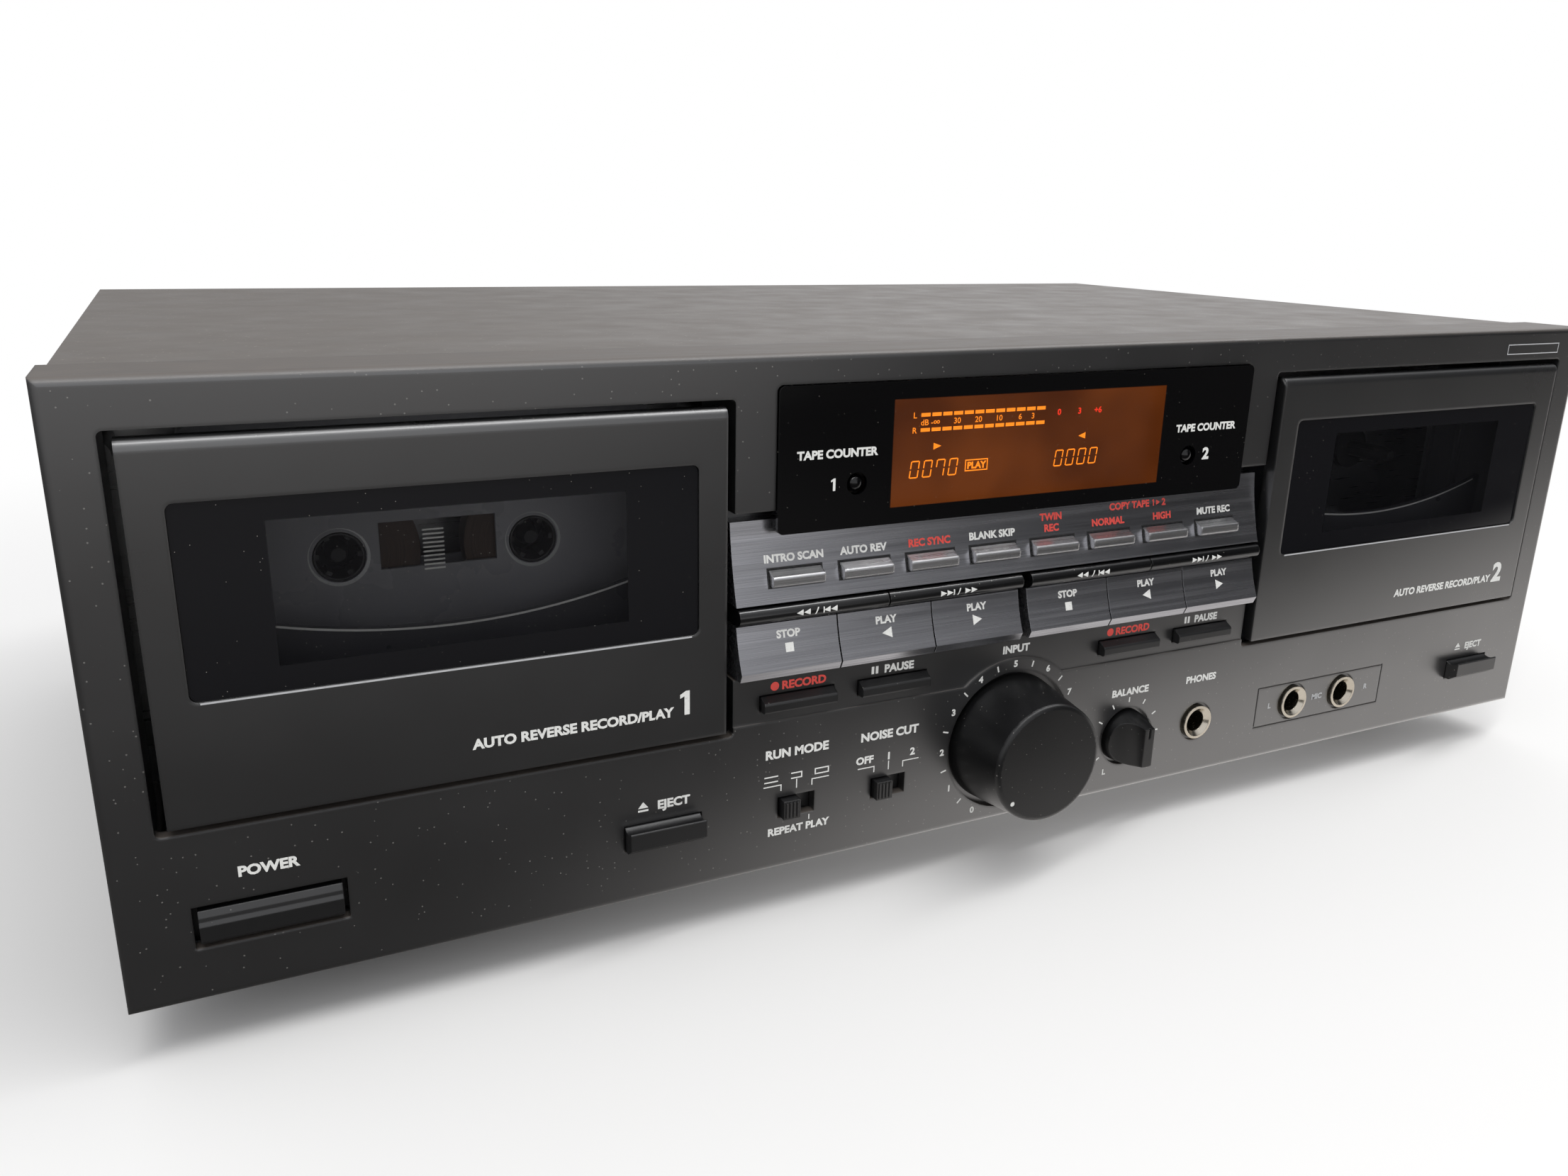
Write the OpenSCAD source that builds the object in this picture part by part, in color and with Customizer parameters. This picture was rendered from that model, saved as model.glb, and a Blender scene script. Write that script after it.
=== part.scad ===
// Double cassette deck: a moulded front with two tape wells, transport keys, display and dials,
// on a sheet-metal case. The front faces -Y, the deck stands on Z = 0 and is centred on X and Y.
// Inside the modules, Y counts back from the front face and Z up from the front's lower edge.

/* [Case] */
// Width of the moulded front
panel_w = 435; // [432:1:445]
// Height of the moulded front
panel_h = 130; // [128:1:138]
// Depth from the front face to the back of the rear wall
case_d = 255; // [235:1:300]
// Clearance under the front's lower edge
foot_h = 13; // [8:1:18]
// Radius of a foot where it meets the floor
foot_r = 17; // [12:1:20]
// Distance of the feet from the middle of the deck
foot_x = 172; // [140:1:185]
// Distance of the front feet from the front face
foot_y = 48; // [42:1:70]
// Wall of the moulded front
front_t = 3; // [2.6:0.1:3.4]
// Depth of the front's wrap-round flange
flange_d = 20; // [19:1:24]
// Round on the front's outer edges
edge_r = 1.6; // [0.8:0.1:2.4]
// Thickness of the sheet metal
sheet_t = 1.2; // [0.8:0.1:1.6]
// Step in from the front's outline to the cover
cover_step = 1.5; // [0.8:0.1:2.5]
// Height of the tray's side flanges
tray_flange_h = 14; // [12:1:24]
// Radius of a case screw's head
screw_head_r = 3.6; // [2.8:0.1:4.5]
// Height of a case screw's head
screw_head_h = 1.4; // [0.8:0.1:1.4]
// Radius of a case screw's shank
screw_r = 1.5; // [1:0.1:2]

/* [Tape wells] */
// Distance of the well openings from the front's ends
well_edge = 9.4; // [8.4:0.1:10.4]
// Half width of the well openings
open_half = 62.6; // [62:0.1:63.2]
// Lower edge of the well openings
open_z0 = 38.7; // [37.5:0.1:39.2]
// Distance of the well openings from the front's upper edge
open_top = 9.75; // [8.5:0.05:10]
// Corner radius of the well openings
open_r = 1.2; // [0.6:0.1:2]
// Wall round the well openings behind the front
tunnel_t = 2.5; // [1.6:0.1:3]

/* [Doors] */
// Gap at each side of a door
door_gap_x = 2.45; // [1.2:0.05:3]
// Gap under a door
door_gap_z0 = 1.8; // [1.4:0.1:2.4]
// Gap over a door
door_gap_z1 = 1.55; // [1:0.05:2.4]
// How far a door stands out from the front
door_proud = 1.3; // [0.6:0.1:2]
// Thickness of a door
door_t = 4; // [3.4:0.1:4.4]
// Round on a door's upper front edge
door_round = 2.2; // [1:0.1:2.6]
// Width of a door's window
window_w = 106.4; // [96:0.2:110]
// Height of a door's window
window_h = 39.8; // [34:0.2:44]
// Distance of a door's window from the door's upper edge
window_drop = 12.3; // [11:0.1:16]
// Corner radius of a door's window
window_r = 1.6; // [0.8:0.1:4]
// How far the window lies below the door's face
window_sunk = 0.5; // [0.2:0.1:0.8]
// Overlap of the window's rim behind the door
window_rim = 1.6; // [0.8:0.1:2.4]
// Height of the door hinge above the front's lower edge
hinge_z = 27; // [26.6:0.1:28]
// Depth of the door hinge behind the front face
hinge_y = 12; // [11.5:0.1:12.5]
// Radius of the door hinge pins
hinge_r = 1.95; // [1.4:0.05:2.2]

/* [Cassette] */
// Length of a cassette
tape_w = 100.4; // [100:0.1:101]
// Height of a cassette
tape_h = 63.8; // [63:0.1:64]
// Thickness of a cassette
tape_t = 8.7; // [8.5:0.1:9]
// Thickness of a cassette along its head edge
tape_head_t = 12; // [11.5:0.1:12.2]
// Height of a cassette's thick head edge
tape_head_h = 17; // [15:0.5:18]
// Distance between a cassette's hubs
hub_pitch = 42.5; // [42:0.1:43]
// Height of the hubs above a cassette's head edge
hub_rise = 33.8; // [33:0.1:34.5]
// Distance of a cassette's upper edge below the well opening's
tape_drop = 3.45; // [3:0.05:3.8]
// Depth of a cassette's face behind the front face
tape_y = 22; // [21.5:0.1:22.4]
// Radius of the hub holes in a cassette's shell
hub_hole_r = 5.6; // [5.5:0.1:6]
// Wall of a cassette's shell
tape_wall = 1.2; // [0.9:0.1:1.3]
// Side play of a cassette in its holder
tape_play = 0.8; // [0.4:0.1:1.2]
// Thickness of a holder's side plates
holder_t = 2.4; // [1.8:0.1:2.8]
// Depth of a holder behind the front face
holder_d = 34; // [33:0.5:36]
// Distance of a holder's top edge below a cassette's upper edge
holder_drop = 4.8; // [3.8:0.1:10]
// Depth of a holder's front lip behind the front face
lip_y = 12; // [10.5:0.5:14]
// Height of the lip's upper edge at its middle above a cassette's head edge
lip_rise = 19.1; // [13:0.1:23]
// Radius of the lip's hollow upper edge
lip_r = 157; // [140:1:200]

/* [Drive] */
// Depth of the mechanism plates behind the front face
mech_y = 42; // [41.5:0.5:46]
// Thickness of the mechanism plates
mech_t = 1.5; // [1:0.1:2]
// Radius of a spindle
spindle_r = 2.6; // [2.2:0.1:2.7]
// Depth of a spindle's tip behind the front face
spindle_y = 24; // [23.8:0.1:25]
// Radius of a spindle's shaft
spindle_shaft_r = 1.5; // [1:0.1:1.8]
// Distance between the two capstans of a well
capstan_pitch = 51; // [49:0.5:53]
// Height of the capstans above a cassette's head edge
capstan_rise = 9; // [8.6:0.1:9.4]
// Radius of a capstan
capstan_r = 1; // [0.8:0.1:1.1]
// Radius of a flywheel
flywheel_r = 21; // [16:0.5:24]
// Radius of a drive motor
motor_r = 15; // [12:0.5:16]
// Length of a drive motor
motor_l = 24; // [18:1:30]

/* [Display] */
// Distance of the display window's ends from the wells
display_in = 10.4; // [8:0.1:12]
// Lower edge of the display window
display_z0 = 88.2; // [87.5:0.1:89]
// Distance of the display window from the front's upper edge
display_top = 7.2; // [6:0.1:9]
// How far the display window stands out from the front
display_proud = 0.9; // [0.4:0.1:1.4]
// Thickness of the display window
display_t = 3; // [2.4:0.1:3.2]
// Corner radius of the display window
display_r = 1.5; // [0.5:0.1:3]
// Distance of the lit display's ends from the window's ends
lit_in = 31; // [28.5:0.5:36]
// Lower edge of the lit display
lit_z0 = 92.5; // [92.3:0.1:94]
// Distance of the lit display from the window's upper edge
lit_top = 4.2; // [3.3:0.1:8]
// Distance of the counter buttons from the window's ends
counter_in = 20.7; // [8.5:0.1:23]
// Height of the counter buttons, as a share of the window's height
counter_share = 0.312; // [0.29:0.001:0.6]
// Radius of a counter button
counter_r = 2.2; // [1.6:0.1:2.6]

/* [Controls] */
// Lower edge of the recess that holds the keys
recess_z0 = 53; // [52.4:0.1:53.1]
// Upper edge of the recess that holds the keys
recess_z1 = 94; // [93.6:0.1:95]
// Depth of the recess floor behind the front face
recess_y = 8; // [7.6:0.1:8.4]
// Thickness of the recess floor
recess_t = 2.4; // [2:0.1:2.6]
// Lower edge of the brushed control panel
brushed_z0 = 71.6; // [71.5:0.1:72]
// Upper edge of the brushed control panel
brushed_z1 = 91.2; // [90:0.1:91.6]
// How far the control panel's lower edge stands out
brushed_out = 1; // [0.4:0.1:1.6]
// How far the control panel's upper edge lies back
brushed_back = 3.5; // [3:0.1:4]
// Hollow of the control panel's face
brushed_sag = 0.6; // [0.2:0.1:0.9]
// Thickness of the control panel
brushed_t = 1.6; // [1.2:0.1:1.8]
// Distance of the outer function buttons' middles from the wells
function_in = 16.225; // [13:0.025:18]
// Gap between the function buttons
function_gap = 5.25; // [4.4:0.05:8]
// Height of the function buttons' middle
function_z = 77.4; // [77:0.1:78]
// Height of a function button
function_h = 3.7; // [3:0.1:4.4]
// Lower edge of the winding bars
bar_z0 = 67; // [66.9:0.1:67.4]
// Upper edge of the winding bars
bar_z1 = 71.1; // [70.6:0.1:71.2]
// How far the winding bars stand out
bar_proud = 2.5; // [1.5:0.1:3]
// Upper edge of the transport keys
key_z1 = 66.5; // [66:0.1:66.6]
// Lower edge of the transport keys
key_z0 = 53.5; // [53.4:0.1:54]
// Height of a key's foremost edge
key_nose_z = 55.6; // [54.6:0.1:57]
// How far a key's foremost edge stands out
key_proud = 3.7; // [2.5:0.1:4.5]
// Hollow of a key's face
key_sag = 0.4; // [0.1:0.1:0.8]
// Gap between the two wells' keys
key_mid_gap = 2.4; // [1:0.1:4]
// Share of their spacing that the record and pause buttons fill
record_fill = 0.735; // [0.6:0.005:0.77]
// Height of a record or pause button
record_h = 3.8; // [3:0.1:4.4]
// Height of the record and pause buttons' middle
record_z = 45.9; // [45.4:0.1:46.6]
// Place of the inner record and pause buttons, as a share of the control column's half width
record_inner = 0.4632; // [0.44:0.0001:0.48]
// Place of the outer record and pause buttons, as a share of the control column's half width
record_outer = 0.7913; // [0.77:0.0001:0.82]
// How far the record and pause buttons stand out
record_proud = 2.3; // [1.4:0.1:3]
// Height of the step across the lower front
step_z = 41; // [40:0.5:42.5]
// Depth of the step across the lower front
step_d = 0.4; // [0.2:0.1:0.6]
// Travel of the keys and buttons over the key board
key_travel = 1.2; // [0.6:0.1:1.3]

/* [Dials] */
// Height of the input dial's axis
input_z = 23.4; // [23.2:0.1:24]
// Radius of the input dial's dish
input_dish_r = 20; // [19.4:0.1:20.6]
// Radius of the input dial at its skirt
input_r0 = 18.6; // [17:0.1:19]
// Radius of the input dial at its face
input_r1 = 16.4; // [15:0.1:17]
// How far the input dial stands out
input_proud = 17.4; // [12:0.1:20]
// Radius of the step's arc round the input dial
input_arc_r = 23.8; // [22:0.1:26]
// Turn of the input dial's pointer from upright
input_turn = 131; // [0:1:150]
// Place of the balance dial, as a share of the front's width
balance_share = 0.0954; // [0.092:0.0001:0.1]
// Radius of the balance dial's dish
balance_dish_r = 8.9; // [8.4:0.1:9.4]
// Radius of the balance dial
balance_r = 8; // [7:0.1:8.2]
// How far the balance dial stands out
balance_proud = 9.6; // [6:0.1:12]
// Thickness of the balance dial's grip
balance_grip = 3.4; // [2.4:0.1:4.4]
// Radius of the dials' shafts
dial_shaft_r = 3; // [2:0.1:3.2]

/* [Lower front] */
// Height of the row of jacks, switches and eject buttons
row_z = 17.1; // [16.6:0.1:17.6]
// Place of the headphone jack, as a share of the front's width
phones_share = 0.15724; // [0.152:0.0001:0.163]
// Place of the left microphone jack, as a share of the front's width
mic_left_share = 0.24897; // [0.24:0.0001:0.257]
// Place of the right microphone jack, as a share of the front's width
mic_right_share = 0.29862; // [0.292:0.0001:0.308]
// Bore radius of a jack
jack_bore_r = 3.2; // [3.1:0.05:3.4]
// Place of the engraved frame round the microphone jacks, as a share of the front's width
mic_frame_share = 0.27678; // [0.271:0.0001:0.283]
// Width of the engraved frame round the microphone jacks
mic_frame_w = 55.2; // [50:0.2:60]
// Height of the engraved frame round the microphone jacks
mic_frame_h = 13.5; // [12.4:0.1:16]
// Outer radius of a jack's ferrule
jack_r = 5.2; // [4.6:0.1:5.6]
// How far a jack's ferrule stands out
jack_proud = 1; // [0.4:0.1:1.6]
// Length of a jack behind the front
jack_l = 16; // [12:0.5:18]
// Width of a slide switch's slot
slide_slot_w = 10.4; // [9:0.1:11]
// Height of a slide switch's slot
slide_slot_h = 5.8; // [5:0.1:6.4]
// Place of the reverse mode switch, as a share of the front's width
mode_share = -0.15034; // [-0.152:0.0001:-0.143]
// Place of the noise reduction switch, as a share of the front's width
noise_share = -0.08874; // [-0.092:0.0001:-0.083]
// Width of a slide switch's grip
slide_grip_w = 4.6; // [3.6:0.1:5]
// Travel of a slide switch
slide_travel = 4.4; // [3:0.1:4.6]
// Distance of the power button's middle from the front's left end
power_in = 29.2; // [28.5:0.1:31.5]
// Width of the power button
power_w = 28.2; // [24:0.2:29]
// Height of the power button
power_h = 7.5; // [6:0.1:8.2]
// Gap round the power button
power_gap = 1.1; // [0.5:0.1:1.4]
// How far the power button stands out
power_proud = 1.2; // [0.4:0.1:2]
// How far the latched power button comes out when it is let go
power_out = 2; // [1:0.1:2.4]
// How far the latched power button goes in before it lets go
power_over = 1; // [0.5:0.1:1.4]
// Distance of an eject button from its well's middle
eject_dx = 44.5; // [43:0.1:45]
// Width of an eject button
eject_w = 19.2; // [15:0.2:20]
// Height of an eject button
eject_h = 6.2; // [5:0.1:7]
// How far the eject buttons stand out
eject_proud = 4.3; // [2.5:0.1:5]
// Travel of the eject buttons
eject_travel = 3; // [1.5:0.1:3.5]

/* [Clearances] */
// Gap round a button in its hole
button_gap = 0.3; // [0.2:0.05:0.4]
// Radial running clearance of a shaft or pin
run_gap = 0.05; // [0.02:0.01:0.08]
// Gap left at a pressed button's stop
stop_gap = 0.15; // [0.1:0.05:0.3]
// Gap between neighbouring keys
key_gap = 0.4; // [0.3:0.05:0.6]

/* [Hidden] */
$fn = 64;
arc_fn = 512;
past = 1;
WELLS = [0, 1];
SIDES = [-1, 1];

// Sheet-metal case
tray_z = front_t;
tray_top = tray_z + sheet_t;
tray_side_play = 1;
cover_half = panel_w / 2 - cover_step;
cover_top = panel_h - 0.5;
tray_half = cover_half - sheet_t;
rear_y = case_d - sheet_t;
side_screw_in = [40, 45];
side_screw_y = [flange_d + side_screw_in[0], case_d - side_screw_in[1]];
side_screw_z = tray_z + tray_flange_h / 2;
rear_screw_in = 27.5;
rear_screw_mid = 60;
rear_screw_out = panel_w / 2 - rear_screw_in;
rear_screw_x = [-rear_screw_out, -rear_screw_mid, rear_screw_mid, rear_screw_out];
rear_screw_z = panel_h - 12;
screw_l = 3 * sheet_t;
screw_taper = 0.6;
foot_rear_in = 40;
foot_rear_y = case_d - foot_rear_in;
foot_flare = 2;
foot_chamfer = 1;
foot_rim = 1.5;
vent_count = 9;
vent_w = 3;
vent_l = 40;
vent_pitch = 8;

// Well and door outlines
well_x = panel_w / 2 - well_edge - open_half;
column_x = well_x - open_half;
open_z1 = panel_h - open_top;
door_half = open_half - door_gap_x;
door_z0 = open_z0 + door_gap_z0;
door_z1 = open_z1 - door_gap_z1;
door_back = door_t - door_proud;
window_z0 = door_z1 - window_drop - window_h;
door_edge_t = 2.5;
door_foot_h = 2.5;
window_face = window_sunk - door_proud;
window_seat = door_back - 2;
window_fit = 0.1;

// Cassette and holder
tape_z0 = open_z1 - tape_drop - tape_h;
hub_z = tape_z0 + hub_rise;
tape_half = tape_w / 2;
tape_back = tape_y + tape_t;
tape_mid = tape_y + tape_t / 2;
tape_head_y = tape_mid - tape_head_t / 2;
tape_corner = 2.5;
tape_head_w0 = 66;
tape_head_w1 = 58;
tape_window_w = 25.5;
tape_window_h = 10.6;
tape_window_rise = 1.6;
capstan_hole_r = 3.1;
locate_hole_r = 2.3;
locate_pitch = 82;
holder_in = tape_half + tape_play;
holder_out = holder_in + holder_t;
holder_z0 = tape_z0 - 7;
holder_z1 = tape_z0 + tape_h - holder_drop;
lip_t = 2;
lip_z0 = tape_z0 - 4;
lip_z = tape_z0 + lip_rise;
lip_z1 = lip_z + lip_r - sqrt(pow(lip_r, 2) - pow(holder_out, 2)) + 0.2;
shelf_t = 2.5;
guide_t = 1.6;
guide_in = 2;
guide_play = 0.2;
head_room = 36;
arm_w = 7;
pin_reach = 5.6;
rib_gap = 3;
rib_t = 3;
rib_r = 3.3;
reel_side_play = 0.3;
reel_collar_play = 0.35;
reel_tooth_r = 4;
reel_tooth_t = 1.2;
reel_bore_r = 4.9;
reel_pack_r = [17.4, 15.5];
reel_y0 = tape_y + tape_wall + reel_side_play;
reel_y1 = tape_back - tape_wall - reel_side_play;

// Drive
capstan_z = tape_z0 + capstan_rise;
capstan_depth = 2.8;
capstan_tip_y = tape_head_y + tape_head_t - capstan_depth;
capstan_play = 0.1;
spindle_cone_l = 4;
spindle_taper = 1;
spindle_fin_r = 3;
spindle_fin_t = 0.9;
spindle_base_r = 7;
spindle_base_t = 2;
spindle_gear_r = 9;
spindle_gear_t = 2.4;
flywheel_t = 6;
flywheel_gap = 4.5;
flywheel_rim = 4;
flywheel_hub_r = 5;
motor_rise = 16.2;
motor_z = hub_z + motor_rise;
motor_nose_r = 5;
motor_nose_l = 2;
post_r = 3;
post_top = 18;
post_z = [30, panel_h - post_top];
plate_margin = 3;
plate_play = 0.5;
post_sink = 0.5;
plate_x = [column_x - tunnel_t - 2 * post_r + post_sink, tray_half - sheet_t - plate_play];
post_x = plate_x + [post_r, -post_r];
head_base_t = 1.5;
head_base_z = tape_z0 - 11.5;
head_base_x = head_room - 3;
head_base_y = tape_head_y + 2;
head_r = 7;
head_rise = 7.5;
head_d = 8;
roller_r = 4;
roller_gap = 0.5;
roller_l = 7;
roller_arm = [3, 2, 7];

// Recess, control panel and keys
column_back = recess_y + recess_t;
ledge_t = 2.5;
board_y = 17;
board_t = 1.6;
board_edge = 3;
switch_w = 6;
switch_d = 4;
switch_h = 3.5;
plunger_r = 1.7;
plunger_h = 0.8;
stem_end = board_y - switch_h - plunger_h - key_travel - stop_gap;
brushed_low = [-brushed_out, brushed_z0];
brushed_high = [brushed_back, brushed_z1];
brushed_web = 1.2;
key_low = [-key_proud, key_nose_z];
key_high = [0, key_z1];
key_back = recess_y - key_travel - button_gap;
key_under = 1;
key_row = column_x - button_gap - key_mid_gap / 2;
key_pitch = key_row / 3;
key_stem_z = (key_z0 + key_z1) / 2;
bar_len = key_row / 2;
bar_nose = (bar_z1 - bar_z0) / 2;
bar_mid_z = (bar_z0 + bar_z1) / 2;
stem_w = 6;
stem_h = 3;
flange_t = 1.2;
flange_rim = 1;
flange_y = front_t + button_gap;
function_front = 1.7;
function_top = 1.2;
function_count = 8;
function_pitch = 2 * (column_x - function_in) / (function_count - 1);
function_w = function_pitch - function_gap;
record_x0 = record_inner * column_x;
record_x1 = record_outer * column_x;
record_w = record_fill * (record_x1 - record_x0);
counter_hole = counter_r + 0.5;
counter_wall = 5;

// Shares of a cap's height at which its nose, shoulder and shelving top turn
cap_toe = 0.12;
cap_nose = 0.58;
cap_shoulder = 0.7;
cap_shelf = 0.82;
cap_run = 0.5;

// Display
display_x = column_x - display_in;
display_z1 = panel_h - display_top;
lit_x = display_x - lit_in;
lit_z1 = display_z1 - lit_top;
counter_x = display_x - counter_in;
counter_z = display_z0 + counter_share * (display_z1 - display_z0);
display_back = display_t - display_proud;
display_seat = display_back + 0.05;
display_rim = 0.2;
module_rim = 1;
module_room = 0.5;
module_y = 5;
glass_y = display_seat + 0.6;

// Dials, jacks and slide switches
balance_x = balance_share * panel_w;
phones_x = phones_share * panel_w;
mic_x0 = mic_left_share * panel_w;
mic_x1 = mic_right_share * panel_w;
mic_frame_x = mic_frame_share * panel_w;
mode_x = mode_share * panel_w;
noise_x = noise_share * panel_w;
power_x = power_in - panel_w / 2;
input_dish_d = 2.2;
input_boss_r = 22;
input_boss_y = front_t + 2.2;
tray_y0 = input_boss_y + 1;
input_fillet = 1.1;
input_dot_r = 0.7;
input_dot_d = 0.3;
input_dot_in = 2;
balance_dish_d = 1.6;
balance_scoop_r = 7.5;
balance_mark_w = 0.8;
dial_hole = dial_shaft_r + 0.6;
low_board_y = 22;
low_board_side = [12.6, 22.1];
low_board_x = [mode_x - low_board_side[0], mic_x1 + low_board_side[1]];
low_board_z1 = post_z[0] - post_r - 0.5;
pot_r = 8.5;
pot_bush_r = 4.5;
pot_y = input_boss_y + 2.8;
jack_recess_r = jack_r + 0.8;
jack_recess_d = 0.8;
jack_body = 11;
jack_fit = 0.1;
jack_mouth = 1.2;
jack_mouth_r = jack_r - 0.8;
mic_frame_line = 0.5;
mic_frame_d = 0.3;
slide_lip = 0.4;
slide_plate_t = 1;
slide_plate_h = 8;
slide_proud = 2.4;
slide_cover = 1;
hook_toe = 0.3;
hook_run = 0.4;
hook_r = 0.5;
hook_rise = 0.36;
hook_edge = 0.2;

// Rear sockets
socket_r = 4.15;
socket_bore_r = 1.7;
socket_l = 9.5;
socket_floor = 1;
socket_plate_t = 1.5;
socket_pitch_x = 20;
socket_pitch_z = 16;
socket_z = 32;
socket_bank_x = [60, 120];
socket_margin = 9;
socket_half_x = socket_pitch_x / 2 + socket_margin;
socket_half_z = socket_pitch_z / 2 + socket_margin;
socket_seat = 2;
socket_body_d = 13;
socket_fit = 0.2;
inlet_x = -160;
inlet_w = 24;
inlet_h = 17;
inlet_rim = 2.5;
inlet_body_d = 17;
inlet_mouth_d = 11;
inlet_mouth_r = 4.6;
inlet_waist = 6.4;
inlet_pin_r = 1.2;
inlet_pin_x = 4.2;
inlet_pin_in = 1;

// Boards and transformer inside the case
pcb_gap = 6;
pcb_t = 1.6;
pcb_z = tray_top + pcb_gap;
pcb_low = [-70, 102];
pcb_side = 9.8;
pcb_high = [tray_half - pcb_side, rear_y - 4];
pcb_post_r = 3;
pcb_post_in = 8;
pcb_rear_in = 20;
capacitor_r = 6;
capacitor_h = 20;
capacitor_count = 6;
capacitor_pitch = 22;
capacitor_at = [30, 30];
heat_sink_at = [20, 60];
heat_sink = [60, 6, 30];
chip_at = [205, 50];
chip = [30, 20, 4];
core_side = 29.8;
core_at = [core_side - tray_half, 160];
core = [62, 32, 52];
core_leg = 10;
coil_out = 9;

// Whole deck
body_front = max(input_proud, balance_proud);
body_back = case_d + socket_plate_t + socket_l;
mid_y = (body_back - body_front) / 2;

STATIC = ["front_bezel", "control_panel", "display_window", "display_module", "top_cover", "chassis_tray",
    "feet", "case_screws", "jack_sockets", "rear_sockets", "main_board", "key_board", "power_transformer",
    "mechanism_plates", "tape_heads", "drive_motors"];
TAPE = ["cassette_shell", "cassette_reel_left", "cassette_reel_right"];
DIALS = ["input_knob", "balance_knob", "mode_switch", "noise_switch", "power_button"];
PER_WELL = ["door", "door_window", "cassette_holder", "rewind_bar", "forward_bar", "stop_key",
    "reverse_key", "play_key", "record_button", "pause_button", "counter_button", "eject_button",
    "spindle_left", "spindle_right"];
NODES = concat(STATIC, TAPE, DIALS,
    [for (n = PER_WELL) for (w = WELLS) per_well(n, w)],
    [for (i = [0:function_count - 1]) function_name(i)]);
node = "all";

// Names and places of what repeats
function per_well(name, w) = str(name, "_", w + 1);
function function_name(i) = str("function_button_", i + 1);
function shown(name) = node == "all" || node == name;
function well_mid(w) = SIDES[w] * well_x;
function function_x(i) = (i - (function_count - 1) / 2) * function_pitch;
function key_x0(w) = w == 0 ? -column_x + button_gap : key_mid_gap / 2;
function hub_x(w, side) = well_mid(w) + side * hub_pitch / 2;
function bar_mid(w, i) = key_x0(w) + (i + 0.5) * bar_len;
function key_mid(w, i) = key_x0(w) + (i + 0.5) * key_pitch;
function record_x(w, i) = w == 0 ? [-record_x1, -record_x0][i] : [record_x0, record_x1][i];
function eject_x(w) = well_mid(w) + eject_dx;
function vent_x(i) = (i - (vent_count - 1) / 2) * vent_pitch;

// Radius and centre of an arc that hollows the line from a to b by sag
function arc_radius(a, b, sag) = pow(norm(b - a), 2) / (8 * sag) + sag / 2;
function arc_centre(a, b, sag) = (a + b) / 2
    + [-(b - a)[1], (b - a)[0]] / norm(b - a) * (arc_radius(a, b, sag) - sag);

// Moves the finished part so that its box stands centred on the origin
module place() {
    translate([0, -mid_y, foot_h]) children();
}

// A block between two opposite corners
module block(from, to) {
    translate(from) cube(to - from);
}

// Round bars along X and along Y, and a cone along Y
module rod_x(r, x0, x1, y, z) {
    translate([x0, y, z]) rotate([0, 90, 0]) cylinder(r = r, h = x1 - x0);
}

module rod_y(r, x, z, y0, y1) {
    translate([x, y0, z]) rotate([-90, 0, 0]) cylinder(r = r, h = y1 - y0);
}

module cone_y(r0, r1, x, z, y0, y1) {
    translate([x, y0, z]) rotate([-90, 0, 0]) cylinder(r1 = r0, r2 = r1, h = y1 - y0);
}

// Extrudes a profile drawn in (y, z) along X
module along_x(x0, x1) {
    translate([x0, 0, 0]) rotate([90, 0, 90]) linear_extrude(x1 - x0) children();
}

// Extrudes an outline drawn in (x, z) along Y
module along_y(y0, y1) {
    translate([0, y1, 0]) rotate([90, 0, 0]) linear_extrude(y1 - y0) children();
}

module round_rect(x0, x1, z0, z1, r) {
    translate([x0 + r, z0]) square([x1 - x0 - 2 * r, z1 - z0]);
    translate([x0, z0 + r]) square([x1 - x0, z1 - z0 - 2 * r]);
    for (x = [x0 + r, x1 - r])
        for (z = [z0 + r, z1 - r])
            translate([x, z]) circle(r);
}

// Outline with its two corners on the low side of the first axis rounded
module nosed_rect(depth, width, r) {
    translate([r, 0]) square([depth - r, width]);
    translate([0, r]) square([depth, width - 2 * r]);
    for (v = [r, width - r])
        translate([r, v]) circle(r);
}

module front_bezel() {
    color("#232325") difference() {
        union() {
            bezel_shell();
            column_walls();
            for (w = WELLS) well_walls(w);
            rod_y(input_boss_r, 0, input_z, front_t - past / 2, input_boss_y);
        }
        for (w = WELLS) well_cut(w);
        recess_cut();
        display_cut();
        step_cut();
        button_cuts();
        dial_cuts();
    }
}

// Moulded tray that wraps round the front of the case
module bezel_shell() {
    difference() {
        intersection() {
            along_x(-panel_w / 2, panel_w / 2) nosed_rect(flange_d, panel_h, edge_r);
            translate([panel_w / 2, 0, 0]) rotate([0, 0, 90])
                linear_extrude(panel_h) nosed_rect(flange_d, panel_w, edge_r);
        }
        block([-panel_w / 2 + front_t, front_t, front_t],
            [panel_w / 2 - front_t, flange_d + past, panel_h - front_t]);
    }
}

// Floor and ledges of the recess behind the keys, and the seat of the display window
module column_walls() {
    block([-column_x, recess_y, recess_z0 - ledge_t], [column_x, column_back, recess_z1 + ledge_t]);
    block([-column_x, front_t / 2, recess_z1], [column_x, column_back, recess_z1 + ledge_t]);
    block([-column_x, front_t / 2, recess_z0 - ledge_t], [column_x, column_back, recess_z0]);
    block([-display_x - ledge_t, front_t / 2, recess_z1],
        [display_x + ledge_t, counter_wall, display_z1 + ledge_t]);
}

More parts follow.
